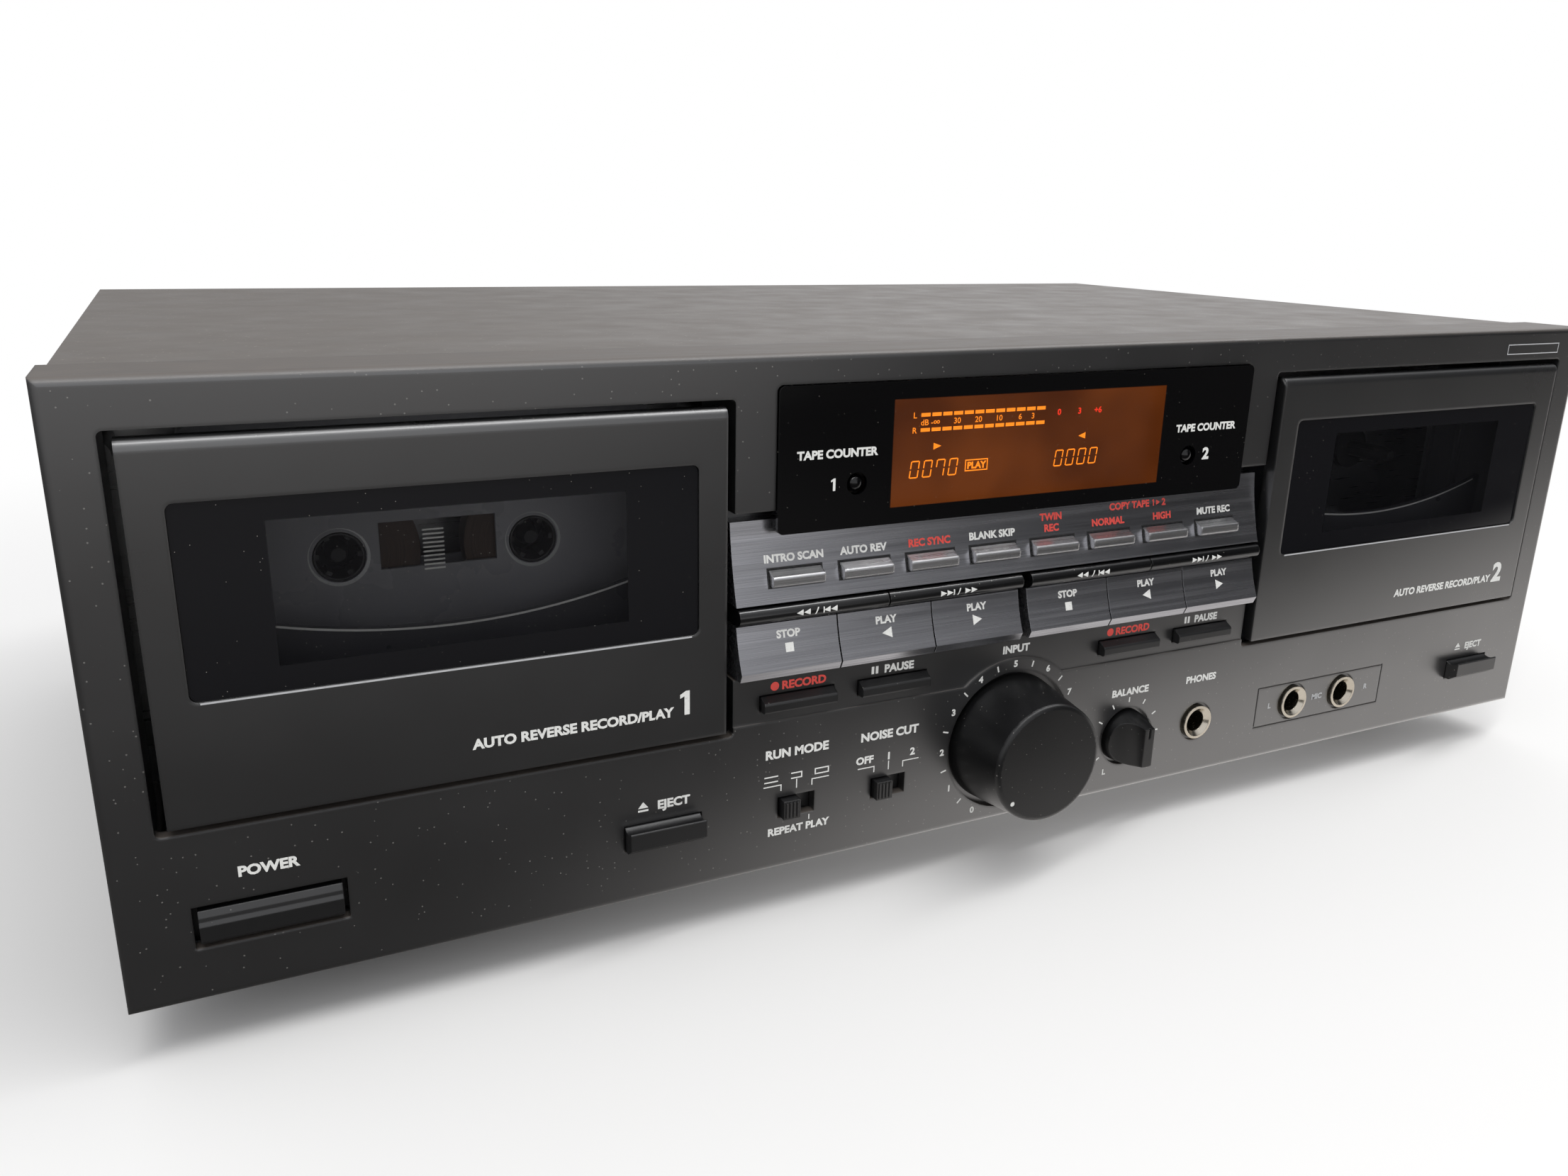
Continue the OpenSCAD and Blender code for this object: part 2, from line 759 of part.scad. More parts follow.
// Walls round a well opening, posts for the drive and ribs that carry the door hinge
module well_walls(w) {
    mid = well_mid(w);
    difference() {
        block([mid - open_half - tunnel_t, front_t / 2, open_z0 - tunnel_t],
            [mid + open_half + tunnel_t, flange_d, open_z1 + tunnel_t]);
        block([mid - open_half, 0, open_z0 - tunnel_t - past], [mid + open_half, flange_d + past, open_z1]);
    }
    for (x = SIDES[w] * post_x)
        for (z = post_z)
            rod_y(post_r, x, z, front_t / 2, mech_y);
    for (side = SIDES)
        hinge_rib(mid + side * (holder_out + rib_gap + rib_t / 2));
}

module hinge_rib(x) {
    x0 = x - rib_t / 2;
    block([x0, front_t / 2, hinge_z - rib_r], [x0 + rib_t, hinge_y, hinge_z + rib_r]);
    rod_x(rib_r, x0, x0 + rib_t, hinge_y, hinge_z);
}

module well_cut(w) {
    mid = well_mid(w);
    along_y(-past, flange_d + past)
        round_rect(mid - open_half, mid + open_half, open_z0, open_z1, open_r);
    for (side = SIDES) {
        x = mid + side * (holder_out + rib_gap + rib_t / 2);
        rod_x(hinge_r + run_gap, x - rib_t, x + rib_t, hinge_y, hinge_z);
    }
}

module recess_cut() {
    block([-column_x - past, -past, recess_z0], [column_x + past, recess_y, recess_z1]);
    for (i = [0:function_count - 1])
        stem_hole(function_x(i), function_z);
    for (w = WELLS) {
        for (i = [0, 1])
            stem_hole(bar_mid(w, i), bar_mid_z);
        for (i = [0:2])
            stem_hole(key_mid(w, i), key_stem_z);
    }
}

module stem_hole(x, z) {
    block([x - stem_w / 2 - button_gap, 0, z - stem_h / 2 - button_gap],
        [x + stem_w / 2 + button_gap, column_back + past, z + stem_h / 2 + button_gap]);
}

module display_cut() {
    along_y(-past, display_seat)
        round_rect(-display_x - display_rim, display_x + display_rim,
            display_z0 - display_rim, display_z1 + display_rim, display_r);
    rim = module_rim + module_room;
    block([-lit_x - rim, 0, lit_z0 - rim], [lit_x + rim, column_back + past, lit_z1 + rim]);
    for (side = SIDES) {
        x = side * counter_x;
        rod_y(counter_hole, x, counter_z, 0, column_back + past);
        rod_y(counter_hole + flange_rim + button_gap, x, counter_z, counter_wall, column_back + past);
    }
}

// Shallow step across the front that runs round the input dial
module step_cut() {
    along_y(-past, step_d) difference() {
        translate([-column_x, step_z]) square([2 * column_x, recess_z0 - step_z + past]);
        translate([0, input_z]) circle(input_arc_r);
    }
}

module button_cuts() {
    for (w = WELLS) {
        for (i = [0, 1])
            button_hole(record_x(w, i), record_z, record_w, record_h, button_gap);
        button_hole(eject_x(w), row_z, eject_w, eject_h, button_gap);
    }
    button_hole(power_x, row_z, power_w, power_h, power_gap);
    for (x = [mode_x, noise_x])
        button_hole(x, row_z, slide_slot_w, slide_slot_h, 0);
}

module button_hole(x, z, w, h, gap) {
    block([x - w / 2 - gap, -past, z - h / 2 - gap], [x + w / 2 + gap, front_t + past, z + h / 2 + gap]);
}

module dial_cuts() {
    rod_y(input_dish_r, 0, input_z, -past, input_dish_d);
    rod_y(dial_hole, 0, input_z, -past, input_boss_y + past);
    rod_y(balance_dish_r, balance_x, row_z, -past, balance_dish_d);
    rod_y(dial_hole, balance_x, row_z, -past, front_t + past);
    for (x = [phones_x, mic_x0, mic_x1]) {
        rod_y(jack_recess_r, x, row_z, -past, jack_recess_d);
        rod_y(jack_r + jack_fit, x, row_z, -past, front_t + past);
    }
    along_y(-past, mic_frame_d) translate([mic_frame_x, row_z]) difference() {
        square([mic_frame_w, mic_frame_h], center = true);
        square([mic_frame_w - 2 * mic_frame_line, mic_frame_h - 2 * mic_frame_line], center = true);
    }
}

// Hollow brushed panel whose concave face leans out towards the keys
module control_panel() {
    color("#5a5a5e") difference() {
        along_x(-column_x + button_gap / 2, column_x - button_gap / 2) difference() {
            polygon([brushed_low, [recess_y, brushed_z0], [recess_y, brushed_z1], brushed_high]);
            hollow(brushed_low, brushed_high, brushed_sag);
        }
        along_x(-column_x + brushed_web, column_x - brushed_web) {
            back = [brushed_t + brushed_sag, 0];
            polygon([brushed_low + back + [0, brushed_web], [recess_y + past, brushed_z0 + brushed_web],
                [recess_y + past, brushed_z1 - brushed_web], brushed_high + back - [0, brushed_web]]);
        }
        for (i = [0:function_count - 1]) {
            half = [function_w / 2 + button_gap, 0, function_h / 2 + button_gap];
            mid = [function_x(i), 0, function_z];
            block(mid - half - [0, brushed_out + past, 0], mid + half + [0, recess_y, 0]);
        }
    }
}

module hollow(a, b, sag) {
    translate(arc_centre(a, b, sag)) circle(arc_radius(a, b, sag), $fn = arc_fn);
}

// Cap with a shelving top that meets the front at top, and a blunt face, as seen from its end
module finger_profile(z0, z1, proud, top, back) {
    h = z1 - z0;
    round_d = cap_toe * h;
    polygon([[back, z0], [round_d - proud, z0], [-proud, z0 + round_d], [-proud, z0 + cap_nose * h],
        [round_d / 2 - proud, z0 + cap_shoulder * h], [cap_run * (top + proud) - proud, z0 + cap_shelf * h],
        [top, z1], [back, z1]]);
}

// Stem that runs from a cap back towards its switch
module button_stem(x, z, y0) {
    block([x - stem_w / 2, y0, z - stem_h / 2], [x + stem_w / 2, stem_end, z + stem_h / 2]);
}

module button_flange(x, z, w, h, y0) {
    block([x - w / 2 - flange_rim, y0, z - h / 2 - flange_rim],
        [x + w / 2 + flange_rim, y0 + flange_t, z + h / 2 + flange_rim]);
}

module function_button(i) {
    x = function_x(i);
    z0 = function_z - function_h / 2;
    back = brushed_back + button_gap;
    color("#4c4c50") {
        along_x(x - function_w / 2, x + function_w / 2)
            finger_profile(z0, z0 + function_h, function_front, function_top, back);
        button_flange(x, function_z, function_w, function_h, back);
        button_stem(x, function_z, back);
    }
}

// Long half-round bar over one and a half keys' width
module winding_bar(w, i) {
    x0 = key_x0(w) + i * bar_len;
    nose_y = bar_nose - bar_proud;
    color("#18181a") {
        along_x(x0 + key_gap / 2, x0 + bar_len - key_gap / 2) {
            translate([nose_y, bar_z0]) square([key_back - nose_y, bar_z1 - bar_z0]);
            translate([nose_y, bar_mid_z]) circle(bar_nose);
        }
        button_stem(bar_mid(w, i), bar_mid_z, key_back);
    }
}

// Key with a hollow face that leans out to a nose near its lower edge
module transport_key(w, i) {
    x0 = key_x0(w) + i * key_pitch;
    color("#5a5a5e") {
        along_x(x0 + key_gap / 2, x0 + key_pitch - key_gap / 2) difference() {
            polygon([key_low, [key_under - key_proud, key_z0], [key_back, key_z0],
                [key_back, key_z1], key_high]);
            hollow(key_low, key_high, key_sag);
        }
        button_stem(key_mid(w, i), key_stem_z, key_back);
    }
}

module record_button(w, i) {
    x = record_x(w, i);
    z0 = record_z - record_h / 2;
    color("#303032") {
        along_x(x - record_w / 2, x + record_w / 2)
            finger_profile(z0, z0 + record_h, record_proud, 0, flange_y);
        button_flange(x, record_z, record_w, record_h, flange_y);
        button_stem(x, record_z, flange_y);
    }
}

// Domed button in the display window
module counter_button(w) {
    x = SIDES[w] * counter_x;
    dome_y = counter_r - display_proud - button_gap;
    back = counter_wall + button_gap;
    color("#1c1c1e") {
        intersection() {
            translate([x, dome_y, counter_z]) sphere(counter_r);
            rod_y(counter_r, x, counter_z, -display_proud - past, counter_r);
        }
        rod_y(counter_r, x, counter_z, dome_y, back);
        rod_y(counter_hole + flange_rim, x, counter_z, back, back + flange_t);
        rod_y(stem_h / 2, x, counter_z, back, stem_end);
    }
}

// Hooked cap with a hollow top, and a rod back to the latch
module eject_button(w) {
    x = eject_x(w);
    z0 = row_z - eject_h / 2;
    z1 = z0 + eject_h;
    hook_y = -hook_run * eject_proud;
    color("#262628") {
        along_x(x - eject_w / 2, x + eject_w / 2) difference() {
            polygon([[flange_y, z0], [hook_y, z0], [-eject_proud, z0 + hook_toe * eject_h],
                [-eject_proud, z1 - hook_edge], [hook_edge - eject_proud, z1], [flange_y, z1]]);
            translate([hook_y, z1 + hook_rise * eject_h]) circle(hook_r * eject_h);
        }
        button_flange(x, row_z, eject_w, eject_h, flange_y);
        button_rod(x, flange_y, mech_y - eject_travel - stop_gap);
    }
}

// Rod that runs back from a button of the lower row
module button_rod(x, y0, y1) {
    block([x - stem_w / 2, y0, row_z - stem_h / 2], [x + stem_w / 2, y1, row_z + stem_h / 2]);
}

// Wide button in a bare recess, drawn latched in
module power_button() {
    z0 = row_z - power_h / 2;
    back = flange_y + power_out;
    color("#2c2c2e") {
        along_x(power_x - power_w / 2, power_x + power_w / 2)
            finger_profile(z0, z0 + power_h, power_proud, 0, back);
        button_flange(power_x, row_z, power_w + 2 * power_gap, power_h + 2 * power_gap, back);
        button_rod(power_x, back, mech_y - power_over - stop_gap);
    }
}

// Grip at the left end of its slot, on a plate that closes the slot from behind
module slide_switch(slot_x) {
    x0 = slot_x - slide_slot_w / 2 + (slide_slot_w - slide_grip_w - slide_travel) / 2;
    grip_h = slide_slot_h - 2 * slide_lip;
    reach = slide_travel + slide_cover;
    color("#2a2a2c") {
        along_y(-slide_proud, flange_y) translate([x0, row_z - grip_h / 2]) square([slide_grip_w, grip_h]);
        block([x0 - reach, flange_y, row_z - slide_plate_h / 2],
            [x0 + slide_grip_w + reach, flange_y + slide_plate_t, row_z + slide_plate_h / 2]);
    }
}

// Tapered dial with a rounded rim, a pointer dimple and its shaft
module input_knob() {
    color("#1d1d1f") translate([0, 0, input_z]) rotate([90, 0, 0]) difference() {
        rotate_extrude() {
            polygon([[0, input_proud], [input_r1 - input_fillet, input_proud],
                [input_r1, input_proud - input_fillet], [input_r0, button_gap - input_dish_d],
                [dial_shaft_r, button_gap - input_dish_d], [dial_shaft_r, -low_board_y + stop_gap],
                [0, -low_board_y + stop_gap]]);
            intersection() {
                translate([input_r1 - input_fillet, input_proud - input_fillet]) circle(input_fillet);
                square([input_r1, input_proud]);
            }
        }
        rotate([0, 0, input_turn]) translate([0, input_r1 - input_dot_in, input_proud - input_dot_d])
            cylinder(r = input_dot_r, h = past);
    }
}

// Round base with a finger grip scooped out on both sides and a pointer notch
module balance_knob() {
    base_y = balance_dish_d - button_gap;
    color("#1d1d1f") difference() {
        union() {
            rod_y(balance_r, balance_x, row_z, -balance_proud, base_y);
            rod_y(dial_shaft_r, balance_x, row_z, base_y, low_board_y - stop_gap);
        }
        for (side = SIDES) {
            x = balance_x + side * (balance_grip / 2 + balance_scoop_r);
            translate([x, -balance_proud, 0]) cylinder(r = balance_scoop_r, h = 2 * row_z);
            block([x - balance_scoop_r, -balance_proud - past, 0],
                [x + balance_scoop_r, -balance_proud, 2 * row_z]);
        }
        block([balance_x - balance_mark_w / 2, -balance_proud - past, row_z + balance_r / 2],
            [balance_x + balance_mark_w / 2, -balance_proud + balance_mark_w / 2, row_z + balance_r + past]);
    }
}

module door(w) {
    mid = well_mid(w);
    color("#242426") difference() {
        along_x(mid - door_half, mid + door_half) door_profile();
        along_y(-door_proud - past, door_back) window_outline(mid, 0);
        along_y(window_seat, door_back + past) window_outline(mid, window_rim + window_fit);
    }
}

module door_profile() {
    front = -door_proud;
    polygon([[front + door_round, door_z1], [door_back, door_z1], [door_back, door_z0 + door_foot_h],
        [front + door_edge_t, door_z0], [front, door_z0], [front, door_z1 - door_round]]);
    translate([front + door_round, door_z1 - door_round]) circle(door_round);
}

module window_outline(mid, rim) {
    round_rect(mid - window_w / 2 - rim, mid + window_w / 2 + rim,
        window_z0 - rim, window_z0 + window_h + rim, window_r);
}

module door_window(w) {
    mid = well_mid(w);
    color("#101012") {
        along_y(window_face, window_seat) window_outline(mid, -window_fit);
        along_y(window_seat, door_back) window_outline(mid, window_rim);
    }
}

// Carrier behind a door: side plates with guides, a shelf, a hollow-edged lip and hinge arms
module cassette_holder(w) {
    mid = well_mid(w);
    color("#2e2e30") {
        difference() {
            block([mid - holder_out, lip_y, lip_z0], [mid + holder_out, lip_y + lip_t, lip_z1]);
            rod_y(lip_r, mid, lip_z + lip_r, lip_y - past, holder_d, $fn = arc_fn);
        }
        for (side = SIDES) {
            holder_side(mid, side);
            x = [mid + side * head_room, mid + side * (holder_in + holder_t / 2)];
            block([min(x), lip_y + lip_t / 2, tape_z0 - shelf_t], [max(x), holder_d, tape_z0]);
        }
    }
}

module holder_side(mid, side) {
    x = [mid + side * holder_in, mid + side * holder_out];
    along_x(min(x), max(x)) {
        translate([door_back, holder_z0]) square([holder_d - door_back, holder_z1 - holder_z0]);
        translate([hinge_y - arm_w / 2, hinge_z]) square([arm_w, holder_z0 - hinge_z + past]);
        translate([hinge_y, hinge_z]) circle(arm_w / 2);
    }
    guide = [mid + side * (holder_in - guide_in), mid + side * (holder_in + holder_t / 2)];
    for (y = [tape_y - guide_play - guide_t, tape_back + guide_play])
        block([min(guide), y, tape_z0 - shelf_t], [max(guide), y + guide_t, holder_z1]);
    pin = [mid + side * (holder_out - holder_t / 2), mid + side * (holder_out + pin_reach)];
    rod_x(hinge_r, min(pin), max(pin), hinge_y, hinge_z);
}

// Hollow shell with hub holes, a window between them and a thick head edge
module cassette_shell() {
    mid = well_mid(0);
    color("#6a6a6c") difference() {
        union() {
            along_y(tape_y, tape_back)
                round_rect(mid - tape_half, mid + tape_half, tape_z0, tape_z0 + tape_h, tape_corner);
            along_y(tape_head_y, tape_head_y + tape_head_t) translate([mid, tape_z0])
                polygon([[-tape_head_w0 / 2, 0], [tape_head_w0 / 2, 0], [tape_head_w1 / 2, tape_head_h],
                    [-tape_head_w1 / 2, tape_head_h]]);
        }
        block([mid - tape_half + tape_wall, tape_y + tape_wall, tape_z0 + tape_head_h - tape_wall],
            [mid + tape_half - tape_wall, tape_back - tape_wall, tape_z0 + tape_h - tape_wall]);
        block([mid - tape_head_w1 / 2 + tape_wall, tape_y + tape_wall, tape_z0 - past],
            [mid + tape_head_w1 / 2 - tape_wall, tape_back - tape_wall, tape_z0 + tape_head_h]);
        for (side = SIDES) {
            rod_y(hub_hole_r, hub_x(0, side), hub_z, tape_head_y, holder_d);
            rod_y(capstan_hole_r, mid + side * capstan_pitch / 2, capstan_z, tape_head_y - past, holder_d);
            rod_y(locate_hole_r, mid + side * locate_pitch / 2, capstan_z, tape_head_y - past, holder_d);
        }
        along_y(tape_y - past, holder_d) translate([mid, hub_z + tape_window_rise])
            square([tape_window_w, tape_window_h], center = true);
    }
}

// Hub with six drive teeth and its pack of tape
module cassette_reel(side) {
    x = hub_x(0, side);
    pack = side < 0 ? reel_pack_r[0] : reel_pack_r[1];
    color("#3a2a20") {
        difference() {
            union() {
                rod_y(pack, x, hub_z, reel_y0, reel_y1);
                rod_y(hub_hole_r - reel_collar_play, x, hub_z, tape_y + reel_side_play,
                    tape_back - reel_side_play);
            }
            rod_y(reel_bore_r, x, hub_z, tape_head_y, holder_d);
        }
        for (a = [0:60:300])
            translate([x, reel_y0, hub_z]) rotate([0, a, 0])
                block([reel_tooth_r, 0, -reel_tooth_t / 2],
                    [reel_bore_r + reel_tooth_t / 4, reel_y1 - reel_y0, reel_tooth_t / 2]);
    }
}

// Pointed three-finned spindle with its base, shaft and drive wheel behind the plate
module spindle(w, side) {
    x = hub_x(w, side);
    base_y = mech_y - button_gap - spindle_base_t;
    wheel_y = mech_y + mech_t + button_gap;
    color("#d8d8d4") {
        cone_y(spindle_r - spindle_taper, spindle_r, x, hub_z, spindle_y, spindle_y + spindle_cone_l);
        rod_y(spindle_r, x, hub_z, spindle_y + spindle_cone_l, base_y);
        for (a = [90:120:330])
            translate([x, 0, hub_z]) rotate([0, a, 0])
                block([0, spindle_y + spindle_cone_l + past, -spindle_fin_t / 2],
                    [spindle_fin_r, base_y, spindle_fin_t / 2]);
        rod_y(spindle_base_r, x, hub_z, base_y, base_y + spindle_base_t);
        rod_y(spindle_shaft_r, x, hub_z, base_y + spindle_base_t, wheel_y);
        rod_y(spindle_gear_r, x, hub_z, wheel_y, wheel_y + spindle_gear_t);
    }
}

// Steel plate of each drive, with its capstans and flywheels
module mechanism_plates() {
    color("#b9bcc0") for (w = WELLS) {
        mid = well_mid(w);
        x = SIDES[w] * plate_x;
        plate_back = mech_y + mech_t;
        difference() {
            block([min(x), mech_y, tray_top], [max(x), plate_back, post_z[1] + post_r + plate_margin]);
            for (side = SIDES) {
                rod_y(spindle_shaft_r + run_gap, hub_x(w, side), hub_z, mech_y - past, plate_back + past);
                rod_y(capstan_r + capstan_play, mid + side * capstan_pitch / 2, capstan_z,
                    mech_y - past, plate_back + past);
            }
        }
        for (side = SIDES) capstan(mid + side * capstan_pitch / 2);
    }
}

module capstan(x) {
    y0 = mech_y + mech_t + flywheel_gap;
    y1 = y0 + flywheel_t;
    rod_y(capstan_r, x, capstan_z, capstan_tip_y, y0);
    difference() {
        rod_y(flywheel_r, x, capstan_z, y0, y1);
        difference() {
            rod_y(flywheel_r - flywheel_rim, x, capstan_z, (y0 + y1) / 2, y1 + past);
            rod_y(flywheel_hub_r, x, capstan_z, y0, y1 + past);
        }
    }
}

// Head block and pinch rollers of each well, drawn back below the cassette
module tape_heads() {
    color("#c9c9c4") for (w = WELLS) {
        mid = well_mid(w);
        block([mid - head_base_x, head_base_y, head_base_z - head_base_t],
            [mid + head_base_x, mech_y, head_base_z]);
        along_y(tape_mid - head_d / 2, tape_mid + head_d / 2) translate([mid, head_base_z]) head_outline();
        for (side = SIDES) pinch_roller(mid + side * capstan_pitch / 2);
    }
}

module head_outline() {
    intersection() {
        translate([-head_r, 0]) square([2 * head_r, head_rise]);
        translate([0, head_rise - head_r]) circle(head_r);
    }
}

module pinch_roller(x) {
    z = head_base_z + roller_gap + roller_r;
    y1 = tape_mid + roller_l / 2;
    arm_y = y1 + roller_gap;
    rod_y(roller_r, x, z, tape_mid - roller_l / 2, y1);
    rod_y(roller_arm[0] / 3, x, z, y1, arm_y);
    block([x - roller_arm[0] / 2, arm_y, head_base_z],
        [x + roller_arm[0] / 2, arm_y + roller_arm[1], head_base_z + roller_arm[2]]);
}

module drive_motors() {
    y0 = mech_y + mech_t;
    y1 = y0 + motor_l;
    color("#8d9094") for (w = WELLS) {
        rod_y(motor_r, well_mid(w), motor_z, y0, y1);
        rod_y(motor_nose_r, well_mid(w), motor_z, y1, y1 + motor_nose_l);
    }
}

// Clear plate over the display with a hole for each counter button
module display_window() {
    color("#0c0c0d") difference() {
        along_y(-display_proud, display_back)
            round_rect(-display_x, display_x, display_z0, display_z1, display_r);
        for (side = SIDES)
            rod_y(counter_hole, side * counter_x, counter_z, -display_proud - past, display_back + past);
    }
}

// Display glass in its holder on the key board
module display_module() {
    color("#7a3a14") {
        block([-lit_x, glass_y, lit_z0], [lit_x, module_y, lit_z1]);
        block([-lit_x - module_rim, module_y, lit_z0 - module_rim],
            [lit_x + module_rim, board_y, lit_z1 + module_rim]);
    }
}

// Upright board with a switch behind each button, and a lower board with the dials' controls
module key_board() {
    color("#2f5a34") {
        block([-display_x, board_y, record_z - board_edge],
            [display_x, board_y + board_t, display_z1 - board_edge]);
        for (i = [0:function_count - 1]) key_switch(function_x(i), function_z);
        for (w = WELLS) {
            for (i = [0, 1]) key_switch(bar_mid(w, i), bar_mid_z);
            for (i = [0:2]) key_switch(key_mid(w, i), key_stem_z);
            for (i = [0, 1]) key_switch(record_x(w, i), record_z);
            key_switch(SIDES[w] * counter_x, counter_z);
        }
        block([low_board_x[0], low_board_y, tray_top], [low_board_x[1], low_board_y + board_t, low_board_z1]);
        potentiometer(0, input_z, input_boss_y);
        potentiometer(balance_x, row_z, front_t);
        for (x = [mode_x, noise_x])
            block([x - slide_slot_w, flange_y + slide_plate_t + button_gap, row_z - slide_plate_h / 2],
                [x + slide_slot_w, low_board_y, row_z + slide_plate_h / 2]);
    }
}

module key_switch(x, z) {
    face_y = board_y - switch_h;
    block([x - switch_w / 2, face_y, z - switch_d / 2], [x + switch_w / 2, board_y, z + switch_d / 2]);
    rod_y(plunger_r, x, z, face_y - plunger_h, face_y);
}

// Rotary control between the front and the lower board, with a bushed bore for its shaft
module potentiometer(x, z, y0) {
    difference() {
        union() {
            rod_y(pot_bush_r, x, z, y0, pot_y);
            rod_y(pot_r, x, z, pot_y, low_board_y);
        }
        rod_y(dial_shaft_r + run_gap, x, z, y0 - past, low_board_y);
    }
}

// Chromed ferrules in the front, on square jack bodies
module jack_sockets() {
    color("#d9d9d6") for (x = [phones_x, mic_x0, mic_x1]) difference() {
        union() {
            rod_y(jack_r, x, row_z, -jack_proud, front_t);
            block([x - jack_body / 2, front_t, row_z - jack_body / 2],
                [x + jack_body / 2, low_board_y, row_z + jack_body / 2]);
        }
        rod_y(jack_bore_r, x, row_z, -jack_proud - past, front_t + jack_l);
        cone_y(2 * jack_mouth_r - jack_bore_r, jack_bore_r, x, row_z,
            -jack_proud - jack_mouth, jack_mouth - jack_proud);
    }
}

// Folded sheet over the top and both sides
module top_cover() {
    color("#2b2a29") difference() {
        block([-cover_half, flange_d, tray_z], [cover_half, case_d, cover_top]);
        block([-tray_half, flange_d - past, tray_z - past], [tray_half, case_d + past, cover_top - sheet_t]);
        side_screw_holes();
    }
}

module side_screw_holes() {
    for (side = SIDES)
        for (y = side_screw_y)
            rod_x(screw_r + run_gap, side * tray_half - screw_l, side * tray_half + screw_l, y, side_screw_z);
}

// Bottom sheet with folded sides and the rear wall
module chassis_tray() {
    front_half = panel_w / 2 - front_t - tray_side_play;
    color("#9c9fa3") difference() {
        union() {
            block([-tray_half, flange_d, tray_z], [tray_half, case_d, tray_top]);
            block([-front_half, tray_y0, tray_z], [front_half, flange_d + past, tray_top]);
            block([-tray_half, rear_y, tray_z], [tray_half, case_d, cover_top - sheet_t]);
            for (side = SIDES) {
                x = [side * tray_half, side * (tray_half - sheet_t)];
                block([min(x), flange_d, tray_z], [max(x), case_d, tray_z + tray_flange_h]);
            }
        }
        side_screw_holes();
        for (x = rear_screw_x)
            rod_y(screw_r + run_gap, x, rear_screw_z, rear_y - past, case_d + past);
        for (b = socket_bank_x) socket_window(b);
        block([inlet_x - inlet_w / 2, rear_y - past, socket_z - inlet_h / 2],
            [inlet_x + inlet_w / 2, case_d + past, socket_z + inlet_h / 2]);
        for (i = [0:vent_count - 1])
            block([vent_x(i) - vent_w / 2, case_d / 2, tray_z - past],
                [vent_x(i) + vent_w / 2, case_d / 2 + vent_l, tray_top + past]);
    }
}

module socket_window(b) {
    half = [socket_half_x - socket_seat, socket_half_z - socket_seat];
    block([b - half[0], rear_y - past, socket_z - half[1]], [b + half[0], case_d + past, socket_z + half[1]]);
}

// Four round feet that widen towards the tray
module feet() {
    top = foot_h + tray_z;
    color("#1a1a1a") for (x = [-foot_x, foot_x])
        for (y = [foot_y, foot_rear_y])
            translate([x, y, -foot_h]) rotate_extrude()
                polygon([[0, 0], [foot_r - foot_chamfer, 0], [foot_r, foot_chamfer],
                    [foot_r + foot_flare, top - foot_rim], [foot_r + foot_flare, top], [0, top]]);
}

// Pan-head screws at the cover's sides and along the rear wall
module case_screws() {
    color("#3a3a3c") {
        for (side = SIDES)
            for (y = side_screw_y)
                translate([side * cover_half, y, side_screw_z]) rotate([0, side * 90, 0]) pan_screw();
        for (x = rear_screw_x)
            translate([x, case_d, rear_screw_z]) rotate([-90, 0, 0]) pan_screw();
    }
}

module pan_screw() {
    translate([0, 0, -screw_l]) cylinder(r = screw_r, h = screw_l);
    cylinder(r1 = screw_head_r, r2 = screw_head_r - screw_taper, h = screw_head_h);
}

// Two banks of phono sockets and the mains inlet
module rear_sockets() {
    color("#1e1e20") {
        for (b = socket_bank_x) socket_bank(b);
        mains_inlet();
    }
}

module socket_bank(b) {
    inset = socket_seat + socket_fit;
    plate_y = case_d + socket_plate_t;
    block([b - socket_half_x, case_d, socket_z - socket_half_z],
        [b + socket_half_x, plate_y, socket_z + socket_half_z]);
    block([b - socket_half_x + inset, case_d - socket_body_d, socket_z - socket_half_z + inset],
        [b + socket_half_x - inset, case_d, socket_z + socket_half_z - inset]);
    for (i = SIDES)
        for (j = SIDES)
            phono_socket(b + i * socket_pitch_x / 2, socket_z + j * socket_pitch_z / 2, plate_y);
}

module phono_socket(x, z, y0) {
    difference() {
        rod_y(socket_r, x, z, y0, y0 + socket_l);
        rod_y(socket_bore_r, x, z, y0 + socket_floor, y0 + socket_l + past);
    }
}

// Two-pin inlet with a figure-of-eight mouth
module mains_inlet() {
    half = [inlet_w / 2, inlet_h / 2];
    mouth_y = case_d - inlet_mouth_d;
    difference() {
        union() {
            block([inlet_x - half[0] + socket_fit, case_d - inlet_body_d, socket_z - half[1] + socket_fit],
                [inlet_x + half[0] - socket_fit, case_d, socket_z + half[1] - socket_fit]);
            block([inlet_x - half[0] - inlet_rim, case_d, socket_z - half[1] - inlet_rim],
                [inlet_x + half[0] + inlet_rim, case_d + socket_plate_t, socket_z + half[1] + inlet_rim]);
        }
        along_y(mouth_y, case_d + socket_plate_t + past) translate([inlet_x, socket_z]) {
            for (side = SIDES) translate([side * inlet_pin_x, 0]) circle(inlet_mouth_r);
            square([2 * inlet_pin_x, inlet_waist], center = true);
        }
    }
    for (side = SIDES)
        rod_y(inlet_pin_r, inlet_x + side * inlet_pin_x, socket_z, mouth_y, case_d - inlet_pin_in);
}

